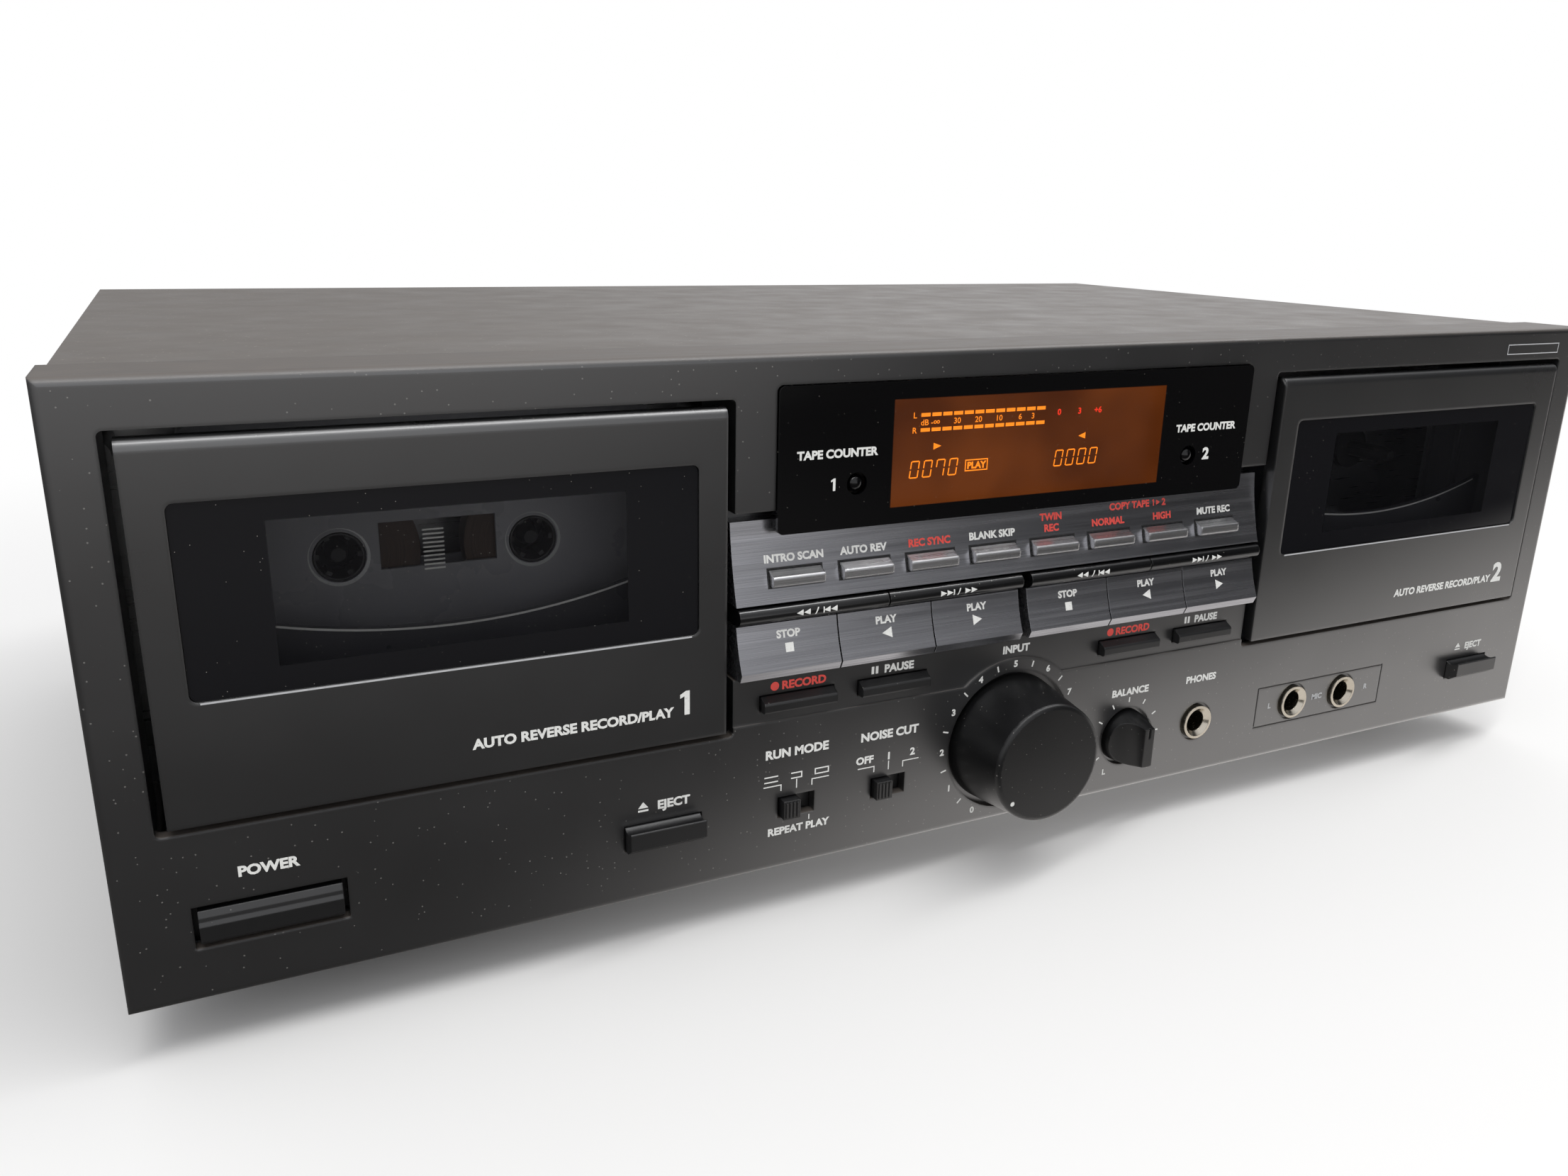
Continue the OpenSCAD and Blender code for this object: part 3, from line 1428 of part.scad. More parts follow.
// Amplifier board on standoffs with its tall parts
module main_board() {
    top = pcb_z + pcb_t;
    color("#2f5a34") {
        block([pcb_low[0], pcb_low[1], pcb_z], [pcb_high[0], pcb_high[1], top]);
        for (x = [pcb_low[0] + pcb_post_in, pcb_high[0] - pcb_post_in])
            for (y = [pcb_low[1] + pcb_post_in, pcb_high[1] - pcb_rear_in])
                translate([x, y, tray_top]) cylinder(r = pcb_post_r, h = pcb_gap);
        translate([pcb_low[0], pcb_low[1], top]) {
            for (i = [0:capacitor_count - 1])
                translate(capacitor_at + [i * capacitor_pitch, 0]) cylinder(r = capacitor_r, h = capacitor_h);
            translate(heat_sink_at) cube(heat_sink);
            translate(chip_at) cube(chip);
        }
    }
}

// Laminated core round a winding, on the tray
module power_transformer() {
    window = core - [2 * core_leg, 0, 2 * core_leg];
    color("#55585c") translate([core_at[0], core_at[1], tray_top]) {
        difference() {
            cube(core);
            translate([core_leg, -past, core_leg]) cube(window + [0, 2 * past, 0]);
        }
        translate([core_leg, -coil_out, core_leg]) cube(window + [0, 2 * coil_out, 0]);
    }
}

// One line draws each piece
if (shown("front_bezel")) place() front_bezel();
if (shown("control_panel")) place() control_panel();
if (shown("display_window")) place() display_window();
if (shown("display_module")) place() display_module();
if (shown("top_cover")) place() top_cover();
if (shown("chassis_tray")) place() chassis_tray();
if (shown("feet")) place() feet();
if (shown("case_screws")) place() case_screws();
if (shown("jack_sockets")) place() jack_sockets();
if (shown("rear_sockets")) place() rear_sockets();
if (shown("main_board")) place() main_board();
if (shown("key_board")) place() key_board();
if (shown("power_transformer")) place() power_transformer();
if (shown("mechanism_plates")) place() mechanism_plates();
if (shown("tape_heads")) place() tape_heads();
if (shown("drive_motors")) place() drive_motors();
if (shown("cassette_shell")) place() cassette_shell();
if (shown("cassette_reel_left")) place() cassette_reel(-1);
if (shown("cassette_reel_right")) place() cassette_reel(1);
if (shown("input_knob")) place() input_knob();
if (shown("balance_knob")) place() balance_knob();
if (shown("mode_switch")) place() slide_switch(mode_x);
if (shown("noise_switch")) place() slide_switch(noise_x);
if (shown("power_button")) place() power_button();
for (w = WELLS) {
    if (shown(per_well("door", w))) place() door(w);
    if (shown(per_well("door_window", w))) place() door_window(w);
    if (shown(per_well("cassette_holder", w))) place() cassette_holder(w);
    if (shown(per_well("rewind_bar", w))) place() winding_bar(w, 0);
    if (shown(per_well("forward_bar", w))) place() winding_bar(w, 1);
    if (shown(per_well("stop_key", w))) place() transport_key(w, 0);
    if (shown(per_well("reverse_key", w))) place() transport_key(w, 1);
    if (shown(per_well("play_key", w))) place() transport_key(w, 2);
    if (shown(per_well("record_button", w))) place() record_button(w, 0);
    if (shown(per_well("pause_button", w))) place() record_button(w, 1);
    if (shown(per_well("counter_button", w))) place() counter_button(w);
    if (shown(per_well("eject_button", w))) place() eject_button(w);
    if (shown(per_well("spindle_left", w))) place() spindle(w, -1);
    if (shown(per_well("spindle_right", w))) place() spindle(w, 1);
}
for (i = [0:function_count - 1]) if (shown(function_name(i))) place() function_button(i);
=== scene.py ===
"""Double cassette deck: finishes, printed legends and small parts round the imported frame.

Sizes are millimetres in the front's own frame: x from the middle, y back from the front face and z up
from the front's lower edge. The row's frame is in metres.
"""

import logging
import math
from dataclasses import dataclass, field
from enum import Enum
from typing import Any, Callable, Sequence

import bmesh
import bpy
from mathutils import Matrix, Vector


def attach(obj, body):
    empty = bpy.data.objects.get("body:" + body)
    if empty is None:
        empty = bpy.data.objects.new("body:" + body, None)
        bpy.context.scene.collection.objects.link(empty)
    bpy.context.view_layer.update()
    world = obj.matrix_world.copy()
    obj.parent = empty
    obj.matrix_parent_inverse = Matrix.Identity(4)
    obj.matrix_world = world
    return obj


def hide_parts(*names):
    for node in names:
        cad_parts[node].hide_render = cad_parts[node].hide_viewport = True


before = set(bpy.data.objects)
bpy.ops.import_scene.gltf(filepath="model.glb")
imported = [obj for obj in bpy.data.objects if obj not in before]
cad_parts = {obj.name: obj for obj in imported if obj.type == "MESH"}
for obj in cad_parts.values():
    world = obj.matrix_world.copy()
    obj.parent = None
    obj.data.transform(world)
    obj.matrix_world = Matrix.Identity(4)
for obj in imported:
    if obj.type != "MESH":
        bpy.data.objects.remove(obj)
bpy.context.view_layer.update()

LOG = logging.getLogger("deck")

Tree = bpy.types.NodeTree
Node = bpy.types.Node
Socket = bpy.types.NodeSocket
Mesh = bpy.types.Mesh
Object = bpy.types.Object
Point = tuple[float, float]
Faces = list[list[int]]
Word = tuple[str, float, float, float]

MM = 0.001  # Metres in a millimetre.
MID_Y = 124.3  # From the front face back to the row's origin.
FOOT_H = 13.0  # From the floor up to the front's lower edge.
PRINT_LIFT = 0.04  # How far ink stands off its face.
WELLS = (1, 2)
NOISE_SPAN = (0.3, 0.7)  # Where most of a noise's values lie.
DUST_AND_TOP_LIGHT = "736A62"  # House dust, a warm grey; laid thick on what faces up, it is also painted top light.


def place(x: float, y: float, z: float) -> Vector:
    """Turns a point of the front's frame, in millimetres, into the row's frame, in metres."""
    return Vector((x, y - MID_Y, z + FOOT_H)) / 1000


def per_mm(size_mm: float) -> float:
    """Texture scale, on coordinates in metres, that gives features of a size in millimetres."""
    return 1000 / size_mm


def linear(hex_colour: str) -> tuple[float, float, float, float]:
    """Turns an sRGB hex colour into linear RGBA.

    Args:
        hex_colour: six hex digits.

    Returns:
        Linear red, green and blue, with an alpha of 1.
    """
    parts = [int(hex_colour[i:i + 2], 16) / 255 for i in (0, 2, 4)]
    red, green, blue = (c / 12.92 if c <= 0.04045 else ((c + 0.055) / 1.055) ** 2.4 for c in parts)
    return (red, green, blue, 1.0)


def fill(tree: Tree, node: Node, key: str | int, value: Any) -> None:
    """Sets one input of a node, or links it.

    Args:
        tree: the node's tree.
        node: the node.
        key: the input's name or number.
        value: a constant, a hex colour, or the node or socket that feeds the input.
    """
    named = (s for s in node.inputs if s.enabled and s.name == key)
    socket = node.inputs[key] if isinstance(key, int) else next(named)
    if isinstance(value, Node):
        value = next(s for s in value.outputs if s.enabled)
    if isinstance(value, Socket):
        tree.links.new(value, socket)
    elif socket.type == "RGBA" and isinstance(value, str):
        socket.default_value = linear(value)
    else:
        socket.default_value = value


def add(tree: Tree, kind: str, inputs: dict[str | int, Any] | Sequence[Any] = (), **settings: Any) -> Node:
    """Adds a node, sets its properties and sets or links its inputs.

    Args:
        tree: the tree that gets the node.
        kind: the node's type name.
        inputs: values for the first inputs in order, or for inputs by name or number.
        settings: the node's own properties.

    Returns:
        The new node.
    """
    node = tree.nodes.new(kind)
    for key, value in settings.items():
        setattr(node, key, value)
    for key, value in (inputs if isinstance(inputs, dict) else dict(enumerate(inputs))).items():
        fill(tree, node, key, value)
    return node


@dataclass(frozen=True)
class Finish:
    """A surface finish that makes its material once."""

    name: str
    colour: str
    roughness: float

    def material(self) -> bpy.types.Material:
        """Returns the finish's material, made at first use."""
        found = bpy.data.materials.get(self.name)
        if found:
            return found
        made = bpy.data.materials.new(self.name)
        made.use_nodes = True
        made.diffuse_color = linear(self.colour)
        tree = made.node_tree
        tree.nodes.clear()
        shader = add(tree, "ShaderNodeBsdfPrincipled", {"Base Color": self.colour, "Roughness": self.roughness})
        add(tree, "ShaderNodeOutputMaterial", {"Surface": shader})
        self.dress(tree, shader, add(tree, "ShaderNodeTexCoord").outputs["Object"])
        return made

    def dress(self, tree: Tree, shader: Node, spot: Socket) -> None:
        """Adds the finish's own nodes to the plain shader.

        Args:
            tree: the material's tree.
            shader: its shader.
            spot: Object coordinates, in metres.
        """

    def relief(self, tree: Tree, shader: Node, height: Node, depth_mm: float, edge_mm: float, strength: float) -> None:
        """Gives the shader a bumped normal on softened edges.

        Args:
            tree: the material's tree.
            shader: its shader.
            height: the pattern that stands out.
            depth_mm: how far it stands out.
            edge_mm: radius of the softened edges.
            strength: share of the bump that shows.
        """
        soft = add(tree, "ShaderNodeBevel", {"Radius": edge_mm * MM}, samples=4)
        bump = add(tree, "ShaderNodeBump", {"Height": height, "Distance": depth_mm * MM, "Strength": strength,
                                            "Normal": soft})
        fill(tree, shader, "Normal", bump)

    def specks(self, tree: Tree, spot: Socket, share: float, spacing_mm: float = 1.7, size_mm: float = 0.2) -> Node:
        """Scattered motes of dust.

        Args:
            tree: the material's tree.
            spot: Object coordinates.
            share: share of the places that hold a mote.
            spacing_mm: mean distance between places for a mote.
            size_mm: radius of the largest motes.

        Returns:
            A value of 1 on a mote and 0 elsewhere.
        """
        cell = add(tree, "ShaderNodeTexVoronoi", {"Vector": spot, "Scale": per_mm(spacing_mm)})
        pick = add(tree, "ShaderNodeSeparateColor", (cell.outputs["Color"],))
        kept = add(tree, "ShaderNodeMath", (pick.outputs[0], share), operation="LESS_THAN")
        reach = add(tree, "ShaderNodeMath", (pick.outputs[1], size_mm / spacing_mm), operation="MULTIPLY")
        near = add(tree, "ShaderNodeMath", (cell.outputs["Distance"], reach), operation="LESS_THAN")
        return add(tree, "ShaderNodeMath", (kept, near), operation="MULTIPLY")

    def settled(self, tree: Tree, spot: Socket, share: float) -> Node:
        """How much of a surface its dust covers, uneven and wiped along X; where a face looks up, the dust is laid
        thick enough to be painted top light as well.

        Args:
            tree: the material's tree.
            spot: Object coordinates.
            share: share of a face that looks straight up.

        Returns:
            The covered share.
        """
        facing = add(tree, "ShaderNodeSeparateXYZ", (add(tree, "ShaderNodeNewGeometry").outputs["Normal"],))
        up = add(tree, "ShaderNodeMapRange", (facing.outputs["Z"], 0.3, 0.9, 0.0, share))
        wiped = add(tree, "ShaderNodeMapping", {"Vector": spot, "Scale": (1 / 2, 1, 1)})
        haze = add(tree, "ShaderNodeTexNoise", {"Vector": wiped, "Scale": per_mm(5), "Detail": 10.0})
        thin = add(tree, "ShaderNodeMapRange", (haze, *NOISE_SPAN, 0.82, 1.0))
        return add(tree, "ShaderNodeMath", (up, thin), operation="MULTIPLY")


@dataclass(frozen=True)
class MouldedPlastic(Finish):
    """Injection-moulded ABS from a spark-eroded tool: a fine satin grain, softened edges and dust that settles, which
    on what faces up is also painted top light.
    """

    grain_mm: float = 0.5
    depth_mm: float = 0.02
    edge_mm: float = 0.35
    marks_mm: float = 28.0
    clouds_mm: float = 60.0
    dust: float = 0.0
    film: float = 0.0
    lacquer: float = 0.0
    ior: float = 1.5
    mote: str = "64625E"

    def dress(self, tree: Tree, shader: Node, spot: Socket) -> None:
        """Grain in the normal, handling marks in the roughness, motes in the colour, and dust on what faces up that
        also paints those faces paler as painted top light.

        Args:
            tree: the material's tree.
            shader: its shader.
            spot: Object coordinates.
        """
        for key, value in (("IOR", self.ior), ("Coat IOR", self.ior), ("Coat Weight", self.lacquer),
                           ("Coat Roughness", self.roughness - 0.04)):
            fill(tree, shader, key, value)
        marks = add(tree, "ShaderNodeTexNoise", {"Vector": spot, "Scale": per_mm(self.marks_mm), "Detail": 5.0})
        rough = add(tree, "ShaderNodeMapRange", (marks, *NOISE_SPAN, self.roughness - 0.05, self.roughness + 0.06))
        clouds = add(tree, "ShaderNodeTexNoise", {"Vector": spot, "Scale": per_mm(self.clouds_mm), "Detail": 3.0})
        dark = add(tree, "ShaderNodeMapRange", (clouds, *NOISE_SPAN, 0.2, 0.0))
        tone = add(tree, "ShaderNodeMix", {"Factor": dark, "A": self.colour, "B": "000000"}, data_type="RGBA")
        if self.dust:
            motes = self.specks(tree, spot, self.dust)
            tone = add(tree, "ShaderNodeMix", {"Factor": motes, "A": tone, "B": self.mote}, data_type="RGBA")
        if self.film:
            # Dust on what faces up, laid thick: real dust and painted top light together.
            cover = self.settled(tree, spot, self.film)
            tone = add(tree, "ShaderNodeMix", {"Factor": cover, "A": tone, "B": DUST_AND_TOP_LIGHT}, data_type="RGBA")
            rough = add(tree, "ShaderNodeMath", (cover, rough), operation="MAXIMUM")
            bare = add(tree, "ShaderNodeMapRange", (cover, 0.0, self.film / 2, self.lacquer, 0.0))
            fill(tree, shader, "Coat Weight", bare)
        fill(tree, shader, "Base Color", tone)
        fill(tree, shader, "Roughness", rough)
        grain = add(tree, "ShaderNodeTexNoise", {"Vector": spot, "Scale": per_mm(self.grain_mm), "Detail": 1.0})
        self.relief(tree, shader, grain, depth_mm=self.depth_mm, edge_mm=self.edge_mm, strength=0.35)


@dataclass(frozen=True)
class BrushedSkin(Finish):
    """Hairline-brushed metal foil on moulded keys: long fine scratches along X that streak the light."""

    metal: float = 0.95
    hair_mm: float = 0.16  # Coarser than real hairlines, which would not show in the render.
    band_mm: float = 1.6
    edge_mm: float = 0.12
    shade: str = "5B5B60"

    def dress(self, tree: Tree, shader: Node, spot: Socket) -> None:
        """Hairlines in the colour and the normal, and broader bands in the roughness.

        Args:
            tree: the material's tree.
            shader: its shader.
            spot: Object coordinates.
        """
        fill(tree, shader, "Metallic", self.metal)
        fine = add(tree, "ShaderNodeMapping", {"Vector": spot, "Scale": (1 / 180, 1, 1)})
        hair = add(tree, "ShaderNodeTexNoise", {"Vector": fine, "Scale": per_mm(self.hair_mm)})
        broad = add(tree, "ShaderNodeMapping", {"Vector": spot, "Scale": (1 / 60, 1, 1)})
        bands = add(tree, "ShaderNodeTexNoise", {"Vector": broad, "Scale": per_mm(self.band_mm)})
        lines = add(tree, "ShaderNodeMapRange", (hair, *NOISE_SPAN, 0.0, 1.0))
        tone = add(tree, "ShaderNodeMix", {"Factor": lines, "A": self.shade, "B": self.colour}, data_type="RGBA")
        rough = add(tree, "ShaderNodeMapRange", (bands, *NOISE_SPAN, self.roughness - 0.06, self.roughness + 0.08))
        fill(tree, shader, "Base Color", tone)
        fill(tree, shader, "Roughness", rough)
        self.relief(tree, shader, hair, depth_mm=0.006, edge_mm=self.edge_mm, strength=0.25)


@dataclass(frozen=True)
class PolishedPlastic(Finish):
    """Polished black acrylic or ABS: mirror-like, with wipe marks and dust that a gloss surface shows."""

    dust: float = 0.8
    wipe: float = 0.06
    wipe_mm: float = 9.0
    wave_mm: float = 40.0
    ior: float = 1.7
    mote: str = "8E8B85"

    def dress(self, tree: Tree, shader: Node, spot: Socket) -> None:
        """Wipe marks in the roughness, motes in the colour and a slow wave in the normal.

        Args:
            tree: the material's tree.
            shader: its shader.
            spot: Object coordinates.
        """
        fill(tree, shader, "IOR", self.ior)
        wiped = add(tree, "ShaderNodeMapping", {"Vector": spot, "Scale": (1 / 4, 1, 1)})
        smear = add(tree, "ShaderNodeTexNoise", {"Vector": wiped, "Scale": per_mm(self.wipe_mm), "Detail": 4.0})
        rough = add(tree, "ShaderNodeMapRange", (smear, *NOISE_SPAN, self.roughness, self.roughness + self.wipe))
        motes = self.specks(tree, spot, self.dust)
        tone = add(tree, "ShaderNodeMix", {"Factor": motes, "A": self.colour, "B": self.mote}, data_type="RGBA")
        fill(tree, shader, "Base Color", tone)
        fill(tree, shader, "Roughness", rough)
        wave = add(tree, "ShaderNodeTexNoise", {"Vector": spot, "Scale": per_mm(self.wave_mm)})
        self.relief(tree, shader, wave, depth_mm=0.05, edge_mm=0.25, strength=0.1)


@dataclass(frozen=True)
class SmokedPane(Finish):
    """Smoked acrylic pane, screened black on its face except for a clear area from x0 to x1 and z0 to z1."""

    clear: tuple[float, float, float, float] = (0, 0, 0, 0)
    face_y: float = 0.0
    density: float = 0.25
    dust: float = 0.8
    wipe_mm: float = 12.0
    fade_mm: float = 0.25
    mote: str = "8A867F"

    def dress(self, tree: Tree, shader: Node, spot: Socket) -> None:
        """Alpha falls to the smoked tint inside the clear area and all over the pane's back.

        Args:
            tree: the material's tree.
            shader: its shader.
            spot: Object coordinates.
        """
        axes = add(tree, "ShaderNodeSeparateXYZ", (spot,))
        x0, x1, z0, z1 = self.clear
        across = self.band(tree, axes.outputs["X"], x0, x1)
        level = self.band(tree, axes.outputs["Z"], z0 + FOOT_H, z1 + FOOT_H)
        inside = add(tree, "ShaderNodeMath", (across, level), operation="MULTIPLY")
        back_y = (self.face_y + 1 - MID_Y) * MM
        behind = add(tree, "ShaderNodeMath", (axes.outputs["Y"], back_y), operation="GREATER_THAN")
        opening = add(tree, "ShaderNodeMath", (inside, behind), operation="MAXIMUM")
        motes = self.specks(tree, spot, self.dust)
        tone = add(tree, "ShaderNodeMix", {"Factor": motes, "A": self.colour, "B": self.mote}, data_type="RGBA")
        smoke = add(tree, "ShaderNodeMapRange", (opening, 0.0, 1.0, 1.0, self.density))
        alpha = add(tree, "ShaderNodeMath", (smoke, motes), operation="MAXIMUM")
        wiped = add(tree, "ShaderNodeMapping", {"Vector": spot, "Scale": (1 / 3, 1, 1)})
        smear = add(tree, "ShaderNodeTexNoise", {"Vector": wiped, "Scale": per_mm(self.wipe_mm), "Detail": 4.0})
        rough = add(tree, "ShaderNodeMapRange", (smear, *NOISE_SPAN, self.roughness, self.roughness + 0.05))
        for key, value in (("Base Color", tone), ("Alpha", alpha), ("Roughness", rough)):
            fill(tree, shader, key, value)

    def band(self, tree: Tree, value: Socket, low: float, high: float) -> Node:
        """A stripe with soft edges.

        Args:
            tree: the material's tree.
            value: one of the coordinates, in metres.
            low: the stripe's first limit, in millimetres.
            high: its second limit.

        Returns:
            A value of 1 between the limits and 0 outside them.
        """
        gap = add(tree, "ShaderNodeMath", (value, (low + high) / 2 * MM), operation="SUBTRACT")
        size = add(tree, "ShaderNodeMath", (gap,), operation="ABSOLUTE")
        half = (high - low) / 2
        return add(tree, "ShaderNodeMapRange", (size, (half - self.fade_mm) * MM, half * MM, 1.0, 0.0))


@dataclass(frozen=True)
class PaintedSteel(Finish):
    """Sheet steel under black stoving enamel: slight orange peel, fine texture and a film of dust that is also painted
    top light.
    """

    dust: float = 1.0
    film: float = 0.52
    sheen: float = 0.32
    sheen_rough: float = 0.35
    sheen_tint: str = "B4AFAA"
    marks_mm: float = 18.0
    peel_mm: float = 0.9
    mote: str = "9A948A"

    def dress(self, tree: Tree, shader: Node, spot: Socket) -> None:
        """Peel in the normal, and dust, laid thick as painted top light too, that lies on what faces up and pales it at
        a low angle.

        Args:
            tree: the material's tree.
            shader: its shader.
            spot: Object coordinates.
        """
        for key, value in (("Sheen Weight", self.sheen), ("Sheen Roughness", self.sheen_rough),
                           ("Sheen Tint", self.sheen_tint)):
            fill(tree, shader, key, value)
        # Dust on what faces up, laid thick: real dust and painted top light together.
        cover = self.settled(tree, spot, self.film)
        tone = add(tree, "ShaderNodeMix", {"Factor": cover, "A": self.colour, "B": DUST_AND_TOP_LIGHT}, data_type="RGBA")
        motes = self.specks(tree, spot, self.dust, spacing_mm=1.8, size_mm=0.25)
        shown = add(tree, "ShaderNodeMapRange", (cover, 0.0, self.film / 2, 0.3, 1.0))
        faint = add(tree, "ShaderNodeMath", (motes, shown), operation="MULTIPLY")
        dust_and_top_light_tone = add(tree, "ShaderNodeMix", {"Factor": faint, "A": tone, "B": self.mote}, data_type="RGBA")
        marks = add(tree, "ShaderNodeTexNoise", {"Vector": spot, "Scale": per_mm(self.marks_mm), "Detail": 5.0})
        rough = add(tree, "ShaderNodeMapRange", (marks, *NOISE_SPAN, self.roughness - 0.05, self.roughness + 0.1))
        fill(tree, shader, "Base Color", dust_and_top_light_tone)
        fill(tree, shader, "Roughness", rough)
        peel = add(tree, "ShaderNodeTexNoise", {"Vector": spot, "Scale": per_mm(self.peel_mm), "Detail": 3.0})
        self.relief(tree, shader, peel, depth_mm=0.04, edge_mm=0.4, strength=0.4)


@dataclass(frozen=True)
class PlatedSteel(Finish):
    """Zinc- or nickel-plated steel: bright metal with a faint spangle and rolling lines."""

    spangle_mm: float = 6.0
    rolled_mm: float = 0.6
    shade: str = "77797C"

    def dress(self, tree: Tree, shader: Node, spot: Socket) -> None:
        """Spangle in the colour and rolling lines in the roughness.

        Args:
            tree: the material's tree.
            shader: its shader.
            spot: Object coordinates.
        """
        fill(tree, shader, "Metallic", 1.0)
        spangle = add(tree, "ShaderNodeTexVoronoi", {"Vector": spot, "Scale": per_mm(self.spangle_mm)})
        pick = add(tree, "ShaderNodeSeparateColor", (spangle.outputs["Color"],))
        faint = add(tree, "ShaderNodeMapRange", (pick.outputs[0], 0.0, 1.0, 0.0, 0.4))
        tone = add(tree, "ShaderNodeMix", {"Factor": faint, "A": self.colour, "B": self.shade}, data_type="RGBA")
        drawn = add(tree, "ShaderNodeMapping", {"Vector": spot, "Scale": (1 / 30, 1, 1)})
        rolled = add(tree, "ShaderNodeTexNoise", {"Vector": drawn, "Scale": per_mm(self.rolled_mm), "Detail": 3.0})
        rough = add(tree, "ShaderNodeMapRange", (rolled, *NOISE_SPAN, self.roughness - 0.05, self.roughness + 0.1))
        fill(tree, shader, "Base Color", tone)
        fill(tree, shader, "Roughness", rough)
        self.relief(tree, shader, rolled, depth_mm=0.02, edge_mm=0.3, strength=0.25)


@dataclass(frozen=True)
class MouldedRubber(Finish):
    """Moulded rubber: dull, with a fine bloom and a coarse grain."""

    bloom: str = "3A3938"
    bloom_mm: float = 7.0
    grain_mm: float = 0.8

    def dress(self, tree: Tree, shader: Node, spot: Socket) -> None:
        """Bloom in the colour and grain in the normal.

        Args:
            tree: the material's tree.
            shader: its shader.
            spot: Object coordinates.
        """
        fill(tree, shader, "Specular IOR Level", 0.3)
        patches = add(tree, "ShaderNodeTexNoise", {"Vector": spot, "Scale": per_mm(self.bloom_mm), "Detail": 5.0})
        share = add(tree, "ShaderNodeMapRange", (patches, *NOISE_SPAN, 0.0, 0.5))
        tone = add(tree, "ShaderNodeMix", {"Factor": share, "A": self.colour, "B": self.bloom}, data_type="RGBA")
        fill(tree, shader, "Base Color", tone)
        grain = add(tree, "ShaderNodeTexNoise", {"Vector": spot, "Scale": per_mm(self.grain_mm)})
        self.relief(tree, shader, grain, depth_mm=0.06, edge_mm=0.4, strength=0.5)


@dataclass(frozen=True)
class CircuitBoard(Finish):
    """Glass-epoxy board under solder mask: copper runs show through as blocky paler tracks."""

    copper: str = "4E8A4A"
    run_mm: float = 5.0

    def dress(self, tree: Tree, shader: Node, spot: Socket) -> None:
        """Blocky cells stand for the copper runs.

        Args:
            tree: the material's tree.
            shader: its shader.
            spot: Object coordinates.
        """
        cells = add(tree, "ShaderNodeTexVoronoi", {"Vector": spot, "Scale": per_mm(self.run_mm)}, distance="CHEBYCHEV")
        runs = add(tree, "ShaderNodeMapRange", (cells.outputs["Distance"], 0.28, 0.34, 0.0, 1.0))
        tone = add(tree, "ShaderNodeMix", {"Factor": runs, "A": self.colour, "B": self.copper}, data_type="RGBA")
        fill(tree, shader, "Base Color", tone)
        self.relief(tree, shader, runs, depth_mm=0.035, edge_mm=0.2, strength=0.4)


@dataclass(frozen=True)
class WoundTape(Finish):
    """Brown oxide tape wound on a dark hub: fine rings round each hub and a plain core."""

    hub_x: float = 0.0
    hub_z: float = 86.8
    core_mm: float = 6.5
    ring_mm: float = 0.25
    pale: str = "4A382C"
    core: str = "3A3A3B"

    def dress(self, tree: Tree, shader: Node, spot: Socket) -> None:
        """Rings of tape outside the core's radius, and the core's own plastic inside it.

        Args:
            tree: the material's tree.
            shader: its shader.
            spot: Object coordinates.
        """
        axes = add(tree, "ShaderNodeSeparateXYZ", (spot,))
        dx = add(tree, "ShaderNodeMath", (axes.outputs["X"], self.hub_x * MM), operation="SUBTRACT")
        dz = add(tree, "ShaderNodeMath", (axes.outputs["Z"], (self.hub_z + FOOT_H) * MM), operation="SUBTRACT")
        arm = add(tree, "ShaderNodeCombineXYZ", (dx, dz))
        radius = add(tree, "ShaderNodeVectorMath", (arm,), operation="LENGTH")
        rings = add(tree, "ShaderNodeTexNoise", {"W": radius, "Scale": per_mm(self.ring_mm)}, noise_dimensions="1D")
        share = add(tree, "ShaderNodeMapRange", (rings, *NOISE_SPAN, 0.0, 1.0))
        tape = add(tree, "ShaderNodeMix", {"Factor": share, "A": self.colour, "B": self.pale}, data_type="RGBA")
        wound = add(tree, "ShaderNodeMath", (radius, self.core_mm * MM), operation="GREATER_THAN")
        tone = add(tree, "ShaderNodeMix", {"Factor": wound, "A": self.core, "B": tape}, data_type="RGBA")
        fill(tree, shader, "Base Color", tone)
        self.relief(tree, shader, rings, depth_mm=0.02, edge_mm=0.2, strength=0.4)


@dataclass(frozen=True)
class ScreenPrint(Finish):
    """Screen-printed ink, also used for painted highlights and painted shade: flat and slightly uneven where the mesh
    left it thin.
    """

    thin: str = "6A6866"
    patch_mm: float = 0.6

    def dress(self, tree: Tree, shader: Node, spot: Socket) -> None:
        """Thin patches darken the ink.

        Args:
            tree: the material's tree.
            shader: its shader.
            spot: Object coordinates.
        """
        patches = add(tree, "ShaderNodeTexNoise", {"Vector": spot, "Scale": per_mm(self.patch_mm), "Detail": 3.0})
        share = add(tree, "ShaderNodeMapRange", (patches, 0.55, 0.8, 0.0, 0.35))
        tone = add(tree, "ShaderNodeMix", {"Factor": share, "A": self.colour, "B": self.thin}, data_type="RGBA")
        fill(tree, shader, "Base Color", tone)


@dataclass(frozen=True)
class LitSegment(Finish):
    """Phosphor segment of a fluorescent display: a flat glow."""

    glow: float = 1.0

    def dress(self, tree: Tree, shader: Node, spot: Socket) -> None:
        """Emission in the segment's own colour."""
        fill(tree, shader, "Emission Color", self.colour)
        fill(tree, shader, "Emission Strength", self.glow)


